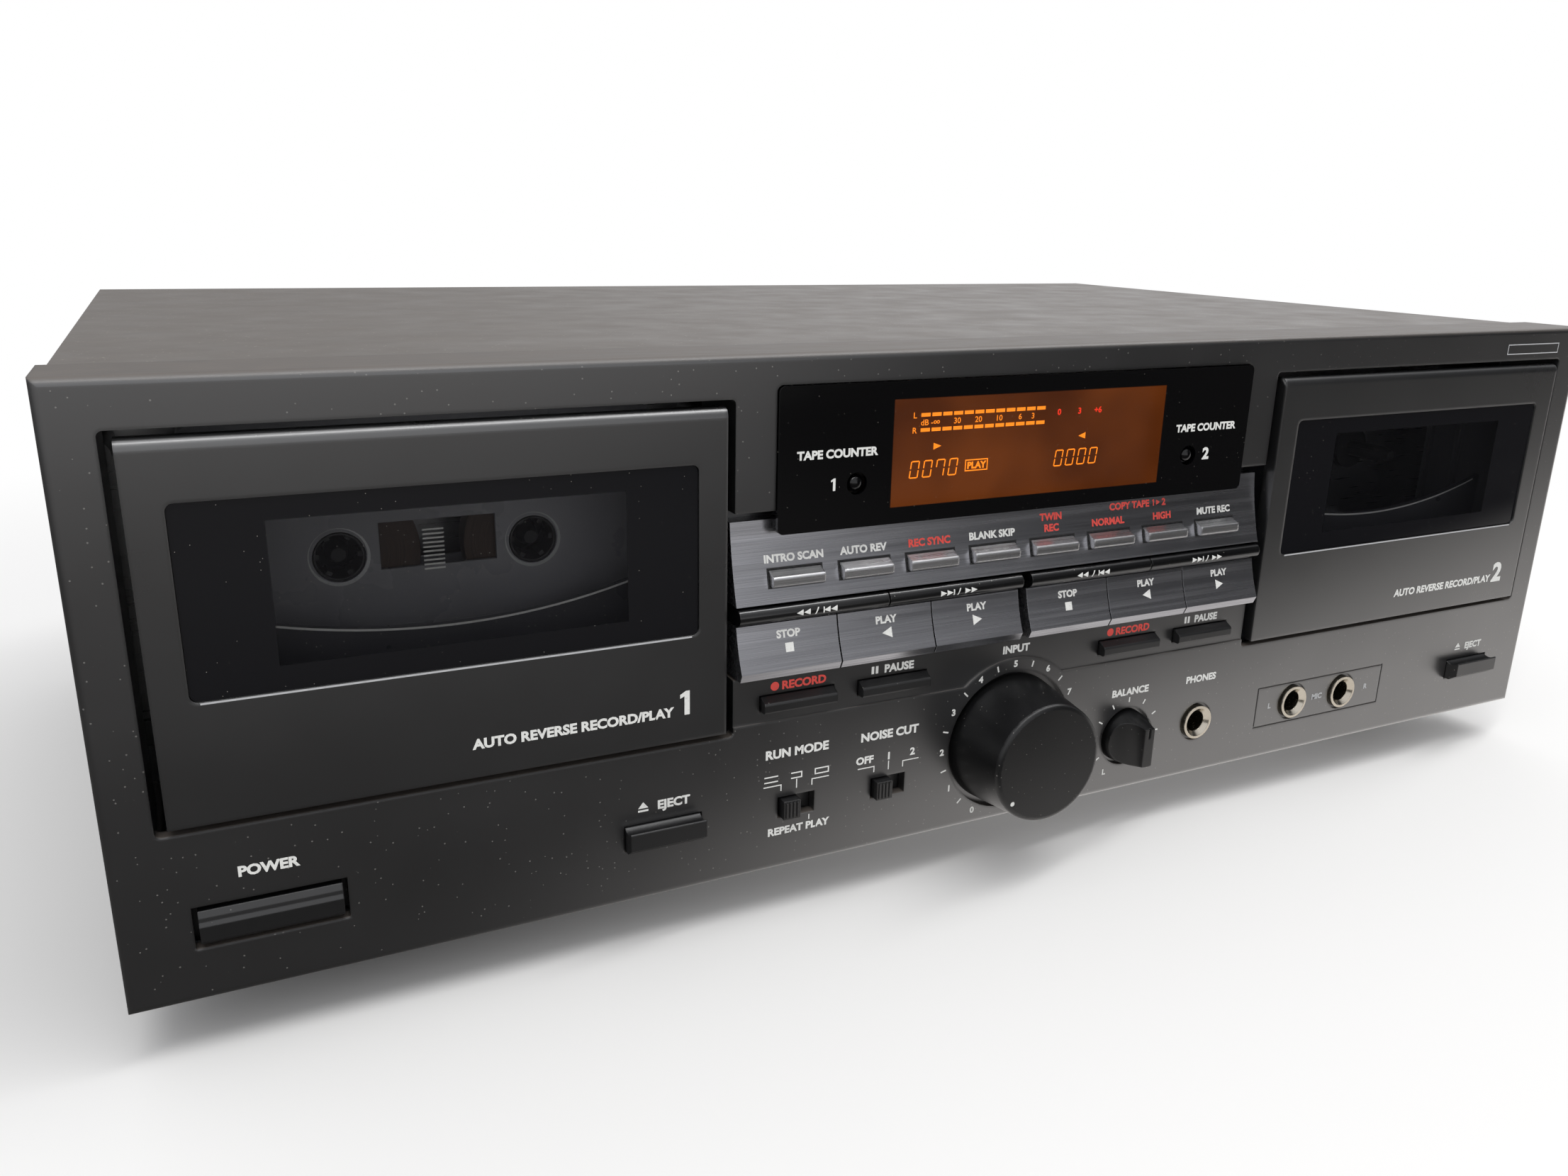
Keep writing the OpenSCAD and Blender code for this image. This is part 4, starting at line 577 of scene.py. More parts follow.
@dataclass(frozen=True)
class LitFilter(Finish):
    """Amber filter sheet behind the display window, with a dim uneven glow."""

    glow: float = 0.5
    hot: str = "A65520"
    unlit: tuple[str, str] = ("30160A", "3A1C0C")
    mottle_mm: float = 30.0

    def dress(self, tree: Tree, shader: Node, spot: Socket) -> None:
        """A mottled glow over a mottled sheet.

        Args:
            tree: the material's tree.
            shader: its shader.
            spot: Object coordinates.
        """
        cloud = add(tree, "ShaderNodeTexNoise", {"Vector": spot, "Scale": per_mm(self.mottle_mm)})
        share = add(tree, "ShaderNodeMapRange", (cloud, *NOISE_SPAN, 0.0, 1.0))
        for key, (low, high) in (("Emission Color", (self.colour, self.hot)), ("Base Color", self.unlit)):
            tone = add(tree, "ShaderNodeMix", {"Factor": share, "A": low, "B": high}, data_type="RGBA")
            fill(tree, shader, key, tone)
        fill(tree, shader, "Emission Strength", self.glow)


@dataclass(frozen=True)
class SocketMoulding(Finish):
    """Black moulded socket bank whose barrels are nickel-plated sleeves round white and red liners."""

    barrel_y: float = 256.5
    first_x: float = 50.0
    pitch_x: float = 20.0
    mid_z: float = 32.0
    row_z: float = 8.0
    liner_r: float = 3.0
    grain_mm: float = 0.6
    lower: str = "A82A24"
    upper: str = "D6D4CE"
    nickel: str = "C9C6BE"
    nickel_rough: float = 0.22

    def dress(self, tree: Tree, shader: Node, spot: Socket) -> None:
        """Metal where the barrels stand out behind the plate, a white or red liner in each, and grain elsewhere.

        Args:
            tree: the material's tree.
            shader: its shader.
            spot: Object coordinates.
        """
        axes = add(tree, "ShaderNodeSeparateXYZ", (spot,))
        plate_y = (self.barrel_y + 0.05 - MID_Y) * MM
        out = add(tree, "ShaderNodeMath", (axes.outputs["Y"], plate_y), operation="GREATER_THAN")
        shift = add(tree, "ShaderNodeMath", (axes.outputs["X"], self.first_x * MM), operation="SUBTRACT")
        half = self.pitch_x / 2 * MM
        across = add(tree, "ShaderNodeMath", (shift, half, -half), operation="WRAP")
        level = add(tree, "ShaderNodeMath", (axes.outputs["Z"], (self.mid_z + FOOT_H) * MM), operation="SUBTRACT")
        away = add(tree, "ShaderNodeMath", (level,), operation="ABSOLUTE")
        along = add(tree, "ShaderNodeMath", (away, self.row_z * MM), operation="SUBTRACT")
        arm = add(tree, "ShaderNodeCombineXYZ", (across, along))
        radius = add(tree, "ShaderNodeVectorMath", (arm,), operation="LENGTH")
        outer = add(tree, "ShaderNodeMath", (radius, self.liner_r * MM), operation="GREATER_THAN")
        sleeve = add(tree, "ShaderNodeMath", (out, outer), operation="MULTIPLY")
        top = add(tree, "ShaderNodeMath", (level, 0.0), operation="GREATER_THAN")
        liner = add(tree, "ShaderNodeMix", {"Factor": top, "A": self.lower, "B": self.upper}, data_type="RGBA")
        barrel = add(tree, "ShaderNodeMix", {"Factor": sleeve, "A": liner, "B": self.nickel}, data_type="RGBA")
        tone = add(tree, "ShaderNodeMix", {"Factor": out, "A": self.colour, "B": barrel}, data_type="RGBA")
        rough = add(tree, "ShaderNodeMapRange", (out, 0.0, 1.0, self.roughness, self.nickel_rough))
        for key, value in (("Metallic", sleeve), ("Base Color", tone), ("Roughness", rough)):
            fill(tree, shader, key, value)
        grain = add(tree, "ShaderNodeTexNoise", {"Vector": spot, "Scale": per_mm(self.grain_mm)})
        self.relief(tree, shader, grain, depth_mm=0.03, edge_mm=0.3, strength=0.3)


# Moulded satin black ABS under a thin lacquer: nearly black, with a soft grey mirror of the pale table.
FRONT_ABS = MouldedPlastic("satin_black_abs_front", "171718", 0.33, edge_mm=1.0, dust=0.6, film=0.6, lacquer=1.0,
                           ior=1.8)
DOOR_ABS = MouldedPlastic("satin_black_abs_door", "171718", 0.31, edge_mm=1.1, dust=0.9, lacquer=1.0, ior=1.75)
# The same without lacquer: a duller black on what fingers touch.
BUTTON_ABS = MouldedPlastic("satin_black_abs_button", "161617", 0.34, grain_mm=0.35, dust=0.6, ior=1.7)
KNOB_ABS = MouldedPlastic("satin_black_abs_knob", "0E0E0F", 0.35, grain_mm=0.4, depth_mm=0.03, edge_mm=0.5, dust=1.0)
HOLDER_ABS = MouldedPlastic("black_abs_holder", "454549", 0.3, dust=0.5)
# Brushed foil and brushed caps: fine streaks along the deck that flash where the light lies across them.
KEY_SKIN = BrushedSkin("brushed_gunmetal_foil", "B2B2B6", 0.25, shade="96969A")
CAP_SKIN = BrushedSkin("brushed_aluminium_cap", "E2E2E3", 0.25, edge_mm=0.6, shade="C0C0C2")
# Polished ABS: deep black with sharp highlights.
BAR_GLOSS = PolishedPlastic("polished_black_abs_bar", "0B0B0C", 0.14, dust=0.6)
DOME_GLOSS = PolishedPlastic("polished_black_abs_dome", "040405", 0.06, dust=0.5, wipe=0.03, ior=1.45)
# Stoved enamel: a dull brown-black that dust, laid on the top as painted top light too, and a low angle turn pale.
COVER_STEEL = PaintedSteel("stoved_black_steel_cover", "1E1C1A", 0.42)
# Plated metals: bright and slightly streaked, the iron and the screws darkened.
TRAY_STEEL = PlatedSteel("zinc_plated_steel_tray", "A3A5A8", 0.38)
PLATE_STEEL = PlatedSteel("nickel_plated_steel_plate", "B4B5B6", 0.3, spangle_mm=9.0, shade="9A9B9C")
CORE_IRON = PlatedSteel("varnished_iron_laminations", "4A4B4E", 0.5, spangle_mm=3.0, shade="2F3033")
NICKEL = PlatedSteel("nickel_plated_brass_jack", "C4BDB0", 0.18, spangle_mm=12.0, shade="A9A294")
SCREW_STEEL = PlatedSteel("blackened_steel_screw", "35353A", 0.4, spangle_mm=2.0, shade="1F1F22")
# Moulded rubber: matt, with a grey bloom.
RUBBER = MouldedRubber("moulded_black_rubber", "161616", 0.8)
# Solder-masked epoxy: glossy green with paler runs.
BOARD = CircuitBoard("solder_masked_epoxy_board", "2C5A32", 0.4)
# Moulded nylon and polystyrene: plain satin black and grey.
NYLON = MouldedPlastic("moulded_black_nylon", "262628", 0.4)
SHELL_GREY = MouldedPlastic("grey_polystyrene_shell", "8C8C90", 0.3, grain_mm=0.8)
# Phenolic moulding: dull black round bright sleeves.
SOCKETS = SocketMoulding("black_phenolic_sockets", "1B1B1C", 0.5)


class Ink(Enum):
    """Colours of the screen-printed legends; the same inks also lay painted highlights and painted shade."""

    WHITE = "E0E0DC"
    RED = "E2483E"
    GREY = "B4B5B6"
    BLACK = "1B1B1C"

    @property
    def finish(self) -> ScreenPrint:
        """The ink's finish."""
        return ScreenPrint(f"screen_print_{self.name.lower()}", self.value, 0.55)


class Align(Enum):
    """The part of a word that its place names."""

    MIDDLE = "CENTER"
    END = "RIGHT"


@dataclass(frozen=True)
class Surface:
    """A face that takes print: its depth at x and z, the tallest facet that follows it, and the ink's height."""

    depth: Callable[[float, float], float]
    facet: float = math.inf
    lift: float = PRINT_LIFT


@dataclass(frozen=True)
class Ground:
    """What a print lies on: the body that carries it, the print's finish and the face under it."""

    body: str
    finish: Finish
    face: Surface


def flat(y: float, lift: float = PRINT_LIFT) -> Surface:
    """A surface at one depth."""
    return Surface(lambda x, z: y, lift=lift)


def hollow(low: Point, high: Point, sag: float) -> Surface:
    """A concave face between two edges.

    Args:
        low: depth and height of the lower edge.
        high: depth and height of the upper edge.
        sag: how far the face is hollowed.

    Returns:
        The hollow face.
    """
    dy, dz = high[0] - low[0], high[1] - low[1]
    chord = math.hypot(dy, dz)
    radius = chord ** 2 / (8 * sag) + sag / 2
    cy = (low[0] + high[0]) / 2 - dz / chord * (radius - sag)
    cz = (low[1] + high[1]) / 2 + dy / chord * (radius - sag)
    return Surface(lambda x, z: cy + math.sqrt(radius ** 2 - (z - cz) ** 2))


def dress(node: str, finish: Finish) -> None:
    """Gives a CAD node its finish.

    Args:
        node: the node's name.
        finish: its finish.
    """
    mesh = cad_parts[node].data
    mesh.materials.clear()
    mesh.materials.append(finish.material())
    LOG.info("dressed %s with %s", node, finish.name)


def show(name: str, mesh: Mesh, finish: Finish, body: str) -> Object:
    """Puts a mesh into the scene as a piece that rides on a body.

    Args:
        name: the piece's name.
        mesh: its mesh, in the row's frame.
        finish: its finish.
        body: the body that carries it.

    Returns:
        The new object.
    """
    obj = bpy.data.objects.new(name, mesh)
    bpy.context.collection.objects.link(obj)
    if not mesh.materials:
        mesh.materials.append(finish.material())
    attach(obj, body)
    LOG.info("piece %s on %s, %d faces", name, body, len(mesh.polygons))
    return obj


@dataclass
class Press:
    """Prints flat outlines and words onto the deck's surfaces and gathers them by body and finish."""

    cap_share: float = 0.69  # Height of the face's capitals against its letter size.
    disc_sides: int = 24
    ring_sides: int = 32
    batches: dict[tuple[str, Finish], list[tuple[list[Vector], Faces]]] = field(default_factory=dict)

    def lay(self, ground: Ground, points: Sequence[Point], faces: Faces) -> None:
        """Lays a flat shape on a surface, cut into facets where the surface bends.

        Args:
            ground: what the print lies on.
            points: x and z of each point.
            faces: the shape's faces.
        """
        sheet = bmesh.new()
        corners = [sheet.verts.new((x, 0, z)) for x, z in points]
        for face in faces:
            sheet.faces.new([corners[i] for i in face])
        surface = ground.face
        level = min(z for _, z in points) + surface.facet
        while level < max(z for _, z in points):
            bmesh.ops.bisect_plane(sheet, geom=[*sheet.verts, *sheet.edges, *sheet.faces],
                                   plane_co=(0, 0, level), plane_no=(0, 0, 1))
            level += surface.facet
        sheet.verts.index_update()
        verts = [place(v.co.x, surface.depth(v.co.x, v.co.z) - surface.lift, v.co.z) for v in sheet.verts]
        polygons = [[v.index for v in f.verts] for f in sheet.faces]
        self.batches.setdefault((ground.body, ground.finish), []).append((verts, polygons))
        sheet.free()

    def shape(self, ground: Ground, outline: Sequence[Point]) -> None:
        """Prints one filled outline, given anticlockwise as seen from the front."""
        self.lay(ground, list(outline), [list(range(len(outline)))])

    def bar(self, ground: Ground, x0: float, x1: float, z0: float, z1: float) -> None:
        """Prints an upright rectangle."""
        self.shape(ground, [(x0, z0), (x1, z0), (x1, z1), (x0, z1)])

    def frame(self, ground: Ground, x0: float, x1: float, z0: float, z1: float, line: float) -> None:
        """Prints the four sides of a rectangle.

        Args:
            ground: what the print lies on.
            x0: the left edge.
            x1: the right edge.
            z0: the lower edge.
            z1: the upper edge.
            line: width of the sides.
        """
        for side in ((x0, x1, z0, z0 + line), (x0, x1, z1 - line, z1), (x0, x0 + line, z0 + line, z1 - line),
                     (x1 - line, x1, z0 + line, z1 - line)):
            self.bar(ground, *side)

    def disc(self, ground: Ground, x: float, z: float, r: float) -> None:
        """Prints a filled circle."""
        turns = [2 * math.pi * i / self.disc_sides for i in range(self.disc_sides)]
        self.shape(ground, [(x + r * math.cos(a), z + r * math.sin(a)) for a in turns])

    def ring(self, ground: Ground, x: float, z: float, r: float, line: float, lean: Point = (0.0, 0.0)) -> None:
        """Prints a circle's outline, made a crescent by the lean of its inner circle.

        Args:
            ground: what the print lies on.
            x: the circle's middle.
            z: height of its middle.
            r: its outer radius.
            line: mean width of the outline.
            lean: how far the inner circle lies from the middle.
        """
        count = self.ring_sides
        turns = [2 * math.pi * i / count for i in range(count)]
        points = [(x + dx + s * math.cos(a), z + dz + s * math.sin(a))
                  for s, dx, dz in ((r, 0.0, 0.0), (r - line, *lean)) for a in turns]
        self.lay(ground, points, [[i, (i + 1) % count, count + (i + 1) % count, count + i] for i in range(count)])

    def arrow(self, ground: Ground, x: float, z: float, width: float, height: float) -> None:
        """Prints a triangle that points right, or left where the width is negative.

        Args:
            ground: what the print lies on.
            x: the triangle's middle.
            z: height of its middle.
            width: from its back to its tip.
            height: of its back.
        """
        tip, tail = x + width / 2, x - width / 2
        points = [(tail, z - height / 2), (tip, z), (tail, z + height / 2)]
        self.shape(ground, points if width > 0 else points[::-1])

    def one(self, ground: Ground, x: float, z: float, cap: float) -> None:
        """Prints a figure one with a flag, centred on x and z."""
        outline = ((-0.02, -0.5), (0.2, -0.5), (0.2, 0.5), (0.04, 0.5), (-0.2, 0.36), (-0.2, 0.2), (-0.02, 0.28))
        self.shape(ground, [(x + u * cap, z + v * cap) for u, v in outline])

    def word(self, ground: Ground, text: str, x: float, z: float, cap: float,
             align: Align = Align.MIDDLE, squeeze: float = 1.06, weight: float = 0.044) -> None:
        """Prints a word in a plain sans face.

        Args:
            ground: what the print lies on.
            text: the word.
            x: its middle or its end, as align says.
            z: height of the middle of its capitals.
            cap: height of its capitals.
            align: the part of the word that lies at x.
            squeeze: width of the letters against the face's own, negative to be read from behind.
            weight: thickening of the strokes against the letter's size.
        """
        curve = bpy.data.curves.new("word", "FONT")
        curve.body = text
        curve.align_x = align.value
        curve.resolution_u = 3
        curve.offset = weight
        holder = bpy.data.objects.new("word", curve)
        bpy.context.collection.objects.link(holder)
        mesh = bpy.data.meshes.new_from_object(holder.evaluated_get(bpy.context.evaluated_depsgraph_get()))
        scale = cap / self.cap_share
        points = [(x + v.co.x * scale * squeeze, z + (v.co.y - self.cap_share / 2) * scale) for v in mesh.vertices]
        self.lay(ground, points, [list(p.vertices) for p in mesh.polygons])
        bpy.data.objects.remove(holder)
        bpy.data.curves.remove(curve)
        bpy.data.meshes.remove(mesh)

    def finish_up(self) -> None:
        """Turns every batch into one object that rides on its body."""
        for (body, finish), shapes in self.batches.items():
            verts: list[Vector] = []
            faces: Faces = []
            for points, polygons in shapes:
                base = len(verts)
                verts.extend(points)
                faces.extend([[base + i for i in p] for p in polygons])
            mesh = bpy.data.meshes.new(f"{body}_{finish.name}")
            mesh.from_pydata(verts, [], faces)
            show(f"print.{body}.{finish.name}", mesh, finish, body)


def new_group(name: str, inputs: dict[str, str]) -> tuple[Tree, Node]:
    """Starts a Geometry Nodes tree with named inputs.

    Args:
        name: the tree's name.
        inputs: input name to the last word of its socket type.

    Returns:
        The tree and its input node.
    """
    tree = bpy.data.node_groups.new(name, "GeometryNodeTree")
    tree.interface.new_socket("Geometry", in_out="OUTPUT", socket_type="NodeSocketGeometry")
    for key, kind in {"Geometry": "Geometry", **inputs, "Finish": "Material"}.items():
        tree.interface.new_socket(key, in_out="INPUT", socket_type=f"NodeSocket{kind}")
    return tree, add(tree, "NodeGroupInput")


def close_group(tree: Tree, given: Node, instances: Node) -> Tree:
    """Ends a tree by realizing its instances and setting their material.

    Args:
        tree: the tree.
        given: its input node.
        instances: the node that places the instances.

    Returns:
        The finished tree.
    """
    real = add(tree, "GeometryNodeRealizeInstances", (instances,))
    dressed = add(tree, "GeometryNodeSetMaterial", {0: real, "Material": given.outputs["Finish"]})
    add(tree, "NodeGroupOutput", (dressed,))
    return tree


def bar_row() -> Tree:
    """Tree for a straight row of equal bars.

    Returns:
        The tree.
    """
    tree, given = new_group("bar_row", {"Count": "Int", "Start": "Vector", "Step": "Vector", "Size": "Vector"})
    line = add(tree, "GeometryNodeMeshLine", {"Count": given.outputs["Count"], "Start Location": given.outputs["Start"],
                                              "Offset": given.outputs["Step"]}, mode="OFFSET")
    cube = add(tree, "GeometryNodeMeshCube", {"Size": given.outputs["Size"]})
    return close_group(tree, given, add(tree, "GeometryNodeInstanceOnPoints", {"Points": line, "Instance": cube}))


def tick_ring() -> Tree:
    """Tree for ticks spaced round a dial that faces the front.

    Returns:
        The tree.
    """
    tree, given = new_group("tick_ring", {"Count": "Int", "First": "Float", "Step": "Float", "Radius": "Float",
                                          "Centre": "Vector", "Size": "Vector"})
    index = add(tree, "GeometryNodeInputIndex")
    turn = add(tree, "ShaderNodeMath", (index, given.outputs["Step"], given.outputs["First"]), operation="MULTIPLY_ADD")
    across = add(tree, "ShaderNodeMath", (turn,), operation="SINE")
    up = add(tree, "ShaderNodeMath", (turn,), operation="COSINE")
    arm = add(tree, "ShaderNodeCombineXYZ", {"X": across, "Z": up})
    reach = add(tree, "ShaderNodeVectorMath", {0: arm, "Scale": given.outputs["Radius"]}, operation="SCALE")
    spot = add(tree, "ShaderNodeVectorMath", (reach, given.outputs["Centre"]), operation="ADD")
    points = add(tree, "GeometryNodePoints", {"Count": given.outputs["Count"], "Position": spot})
    cube = add(tree, "GeometryNodeMeshCube", {"Size": given.outputs["Size"]})
    spin = add(tree, "ShaderNodeCombineXYZ", {"Y": turn})
    ticks = add(tree, "GeometryNodeInstanceOnPoints", {"Points": points, "Instance": cube, "Rotation": spin})
    return close_group(tree, given, ticks)


def screw_set() -> Tree:
    """Tree that sets a screw, turned at random, at each point of a mesh along its turn attribute.

    Returns:
        The tree.
    """
    tree, given = new_group("screw_set", {"Screw": "Object", "Seed": "Int"})
    lean = add(tree, "GeometryNodeInputNamedAttribute", {"Name": "turn"}, data_type="FLOAT_VECTOR")
    shape = add(tree, "GeometryNodeObjectInfo", {"Object": given.outputs["Screw"]})
    heads = add(tree, "GeometryNodeInstanceOnPoints", {"Points": given.outputs["Geometry"], "Rotation": lean,
                                                       "Instance": shape.outputs["Geometry"]})
    chance = add(tree, "FunctionNodeRandomValue", {"Min": 0.0, "Max": 3.0, "Seed": given.outputs["Seed"]},
                 data_type="FLOAT")
    spin = add(tree, "ShaderNodeCombineXYZ", {"Z": chance})
    return close_group(tree, given, add(tree, "GeometryNodeRotateInstances", {"Instances": heads, "Rotation": spin}))


def run_nodes(tree: Tree, values: dict[str, Any], seed: Mesh | None = None) -> Mesh:
    """Evaluates a tree and returns its result as a plain mesh.

    Args:
        tree: the Geometry Nodes tree.
        values: named inputs.
        seed: the mesh that the tree starts from, or none.

    Returns:
        The realized mesh.
    """
    holder = bpy.data.objects.new("nodes", seed or bpy.data.meshes.new("nodes"))
    bpy.context.collection.objects.link(holder)
    modifier = holder.modifiers.new("nodes", "NODES")
    modifier.node_group = tree
    for item in tree.interface.items_tree:
        if item.item_type == "SOCKET" and item.in_out == "INPUT" and item.name in values:
            modifier[item.identifier] = values[item.name]
    graph = bpy.context.evaluated_depsgraph_get()
    mesh = bpy.data.meshes.new_from_object(holder.evaluated_get(graph), depsgraph=graph)
    holder.modifiers.remove(modifier)
    bpy.data.objects.remove(holder)
    return mesh


@dataclass
class FrontLegends:
    """Words, numbers and rules printed on the moulded front."""

    press: Press
    step_y: float = 0.4
    step_z: Point = (41.0, 53.0)
    arc_r: float = 23.8
    column_x: float = 82.9
    dial_z: float = 23.4
    number_r: float = 22.1
    number_cap: float = 1.7
    switch_x: Point = (-65.4, -38.6)
    eject_x: Point = (-100.8, 189.75)
    record_x: Point = (-65.6, 38.3)
    pause_x: Point = (-38.5, 65.6)
    button_z: float = 50.0
    tick_w: float = 0.42
    corner: tuple[float, float, float, float] = (181.0, 206.0, 122.2, 125.4)
    words: tuple[Word, ...] = (
        ("POWER", -188.2, 28.2, 2.2), ("RUN MODE", -65.4, 32, 2.2), ("NOISE CUT", -38.6, 32, 2.2),
        ("REPEAT PLAY", -64.6, 10.6, 1.9), ("OFF", -45.8, 25.6, 1.9), ("1", -38.6, 25.6, 1.9), ("2", -31.4, 25.6, 1.9),
        ("INPUT", 0, 49.7, 2.0), ("BALANCE", 41.5, 31, 2.0), ("L", 34.6, 6.9, 1.6), ("R", 48.4, 6.9, 1.6),
        ("PHONES", 68.4, 31, 2.0))
    jack_words: tuple[Word, ...] = (("MIC", 119.2, 17.1, 1.7), ("L", 98.6, 17.1, 1.6), ("R", 141.2, 17.1, 1.6))

    def depth(self, x: float, z: float) -> float:
        """Depth of the front, which steps back between the recess and the lower area.

        Args:
            x: across the front.
            z: up the front.

        Returns:
            Depth of the front there.
        """
        low, high = self.step_z
        inside = abs(x) < self.column_x and low < z < high and math.hypot(x, z - self.dial_z) > self.arc_r
        return self.step_y if inside else 0.0

    def on(self, ink: Ink) -> Ground:
        """The front as a ground for an ink."""
        return Ground("deck", ink.finish, Surface(self.depth))

    def build(self) -> None:
        """Prints the legends of the lower front and an empty frame in its upper corner."""
        press = self.press
        white, grey, red = self.on(Ink.WHITE), self.on(Ink.GREY), self.on(Ink.RED)
        for word in self.words:
            press.word(white, *word)
        for number in range(11):
            turn = math.radians(-150 + 30 * number)
            x, z = self.number_r * math.sin(turn), self.dial_z + self.number_r * math.cos(turn)
            press.word(white, str(number), x, z, self.number_cap)
        for x in self.eject_x:
            press.word(white, "EJECT", x + 2.4, 24.6, 2.1)
            press.shape(white, [(x - 6.6, 24.4), (x - 4, 24.4), (x - 5.3, 26)])
            press.bar(white, x - 6.6, x - 4, 23.5, 24)
        self.switches(white)
        for word in self.jack_words:
            press.word(grey, *word)
        for x in self.record_x:
            press.disc(red, x - 6.2, self.button_z, 1.15)
            press.word(red, "RECORD", x + 1.8, self.button_z, 2.0)
        for x in self.pause_x:
            for left in (x - 6.2, x - 5.0):
                press.bar(white, left, left + 0.75, self.button_z - 1, self.button_z + 1)
            press.word(white, "PAUSE", x + 1.9, self.button_z, 2.0)
        press.frame(grey, *self.corner, 0.3)

    def switches(self, white: Ground) -> None:
        """Prints the forked tracks over both slide switches, and plain marks of three ways to run over the first.

        Args:
            white: the front in white ink.
        """
        fork = ((-9.2, -4.2, 23.2, 23.5), (-4.5, -4.2, 21.7, 23.2), (-0.15, 0.15, 21.7, 24.2), (4.2, 9.2, 23.2, 23.5),
                (4.2, 4.5, 21.7, 23.2))
        ways = ((-9, -5.2, 24.4, 24.75), (-1.6, 1.2, 24.4, 24.75), (5.4, 8.8, 24.4, 24.75), (-9, -5.2, 25.8, 26.15),
                (-1.6, 1.2, 25.8, 26.15), (5.4, 8.8, 25.8, 26.15), (1.2, 1.55, 24.4, 26.15), (5.05, 5.4, 24.4, 26.15),
                (8.8, 9.15, 24.4, 26.15), (3.6, 3.9, 12.2, 13.6))
        mode_x, noise_x = self.switch_x
        for x, bars in ((mode_x, fork + ways), (noise_x, fork)):
            for left, right, low, high in bars:
                self.press.bar(white, x + left, x + right, low, high)

    def ticks(self) -> None:
        """Ticks round both dials."""
        tree, finish = tick_ring(), Ink.WHITE.finish
        rings = (("input", 10, -135, 22.0, (0, self.dial_z), 1.7), ("balance", 9, -120, 11.3, (41.5, 17.1), 1.5))
        for name, count, first, radius, (x, z), length in rings:
            mesh = run_nodes(tree, {"Count": count, "First": math.radians(first), "Step": math.radians(30),
                                    "Radius": radius * MM, "Centre": place(x, -PRINT_LIFT / 2, z),
                                    "Size": Vector((self.tick_w, PRINT_LIFT, length)) * MM,
                                    "Finish": finish.material()})
            show(f"ticks.{name}", mesh, finish, "deck")


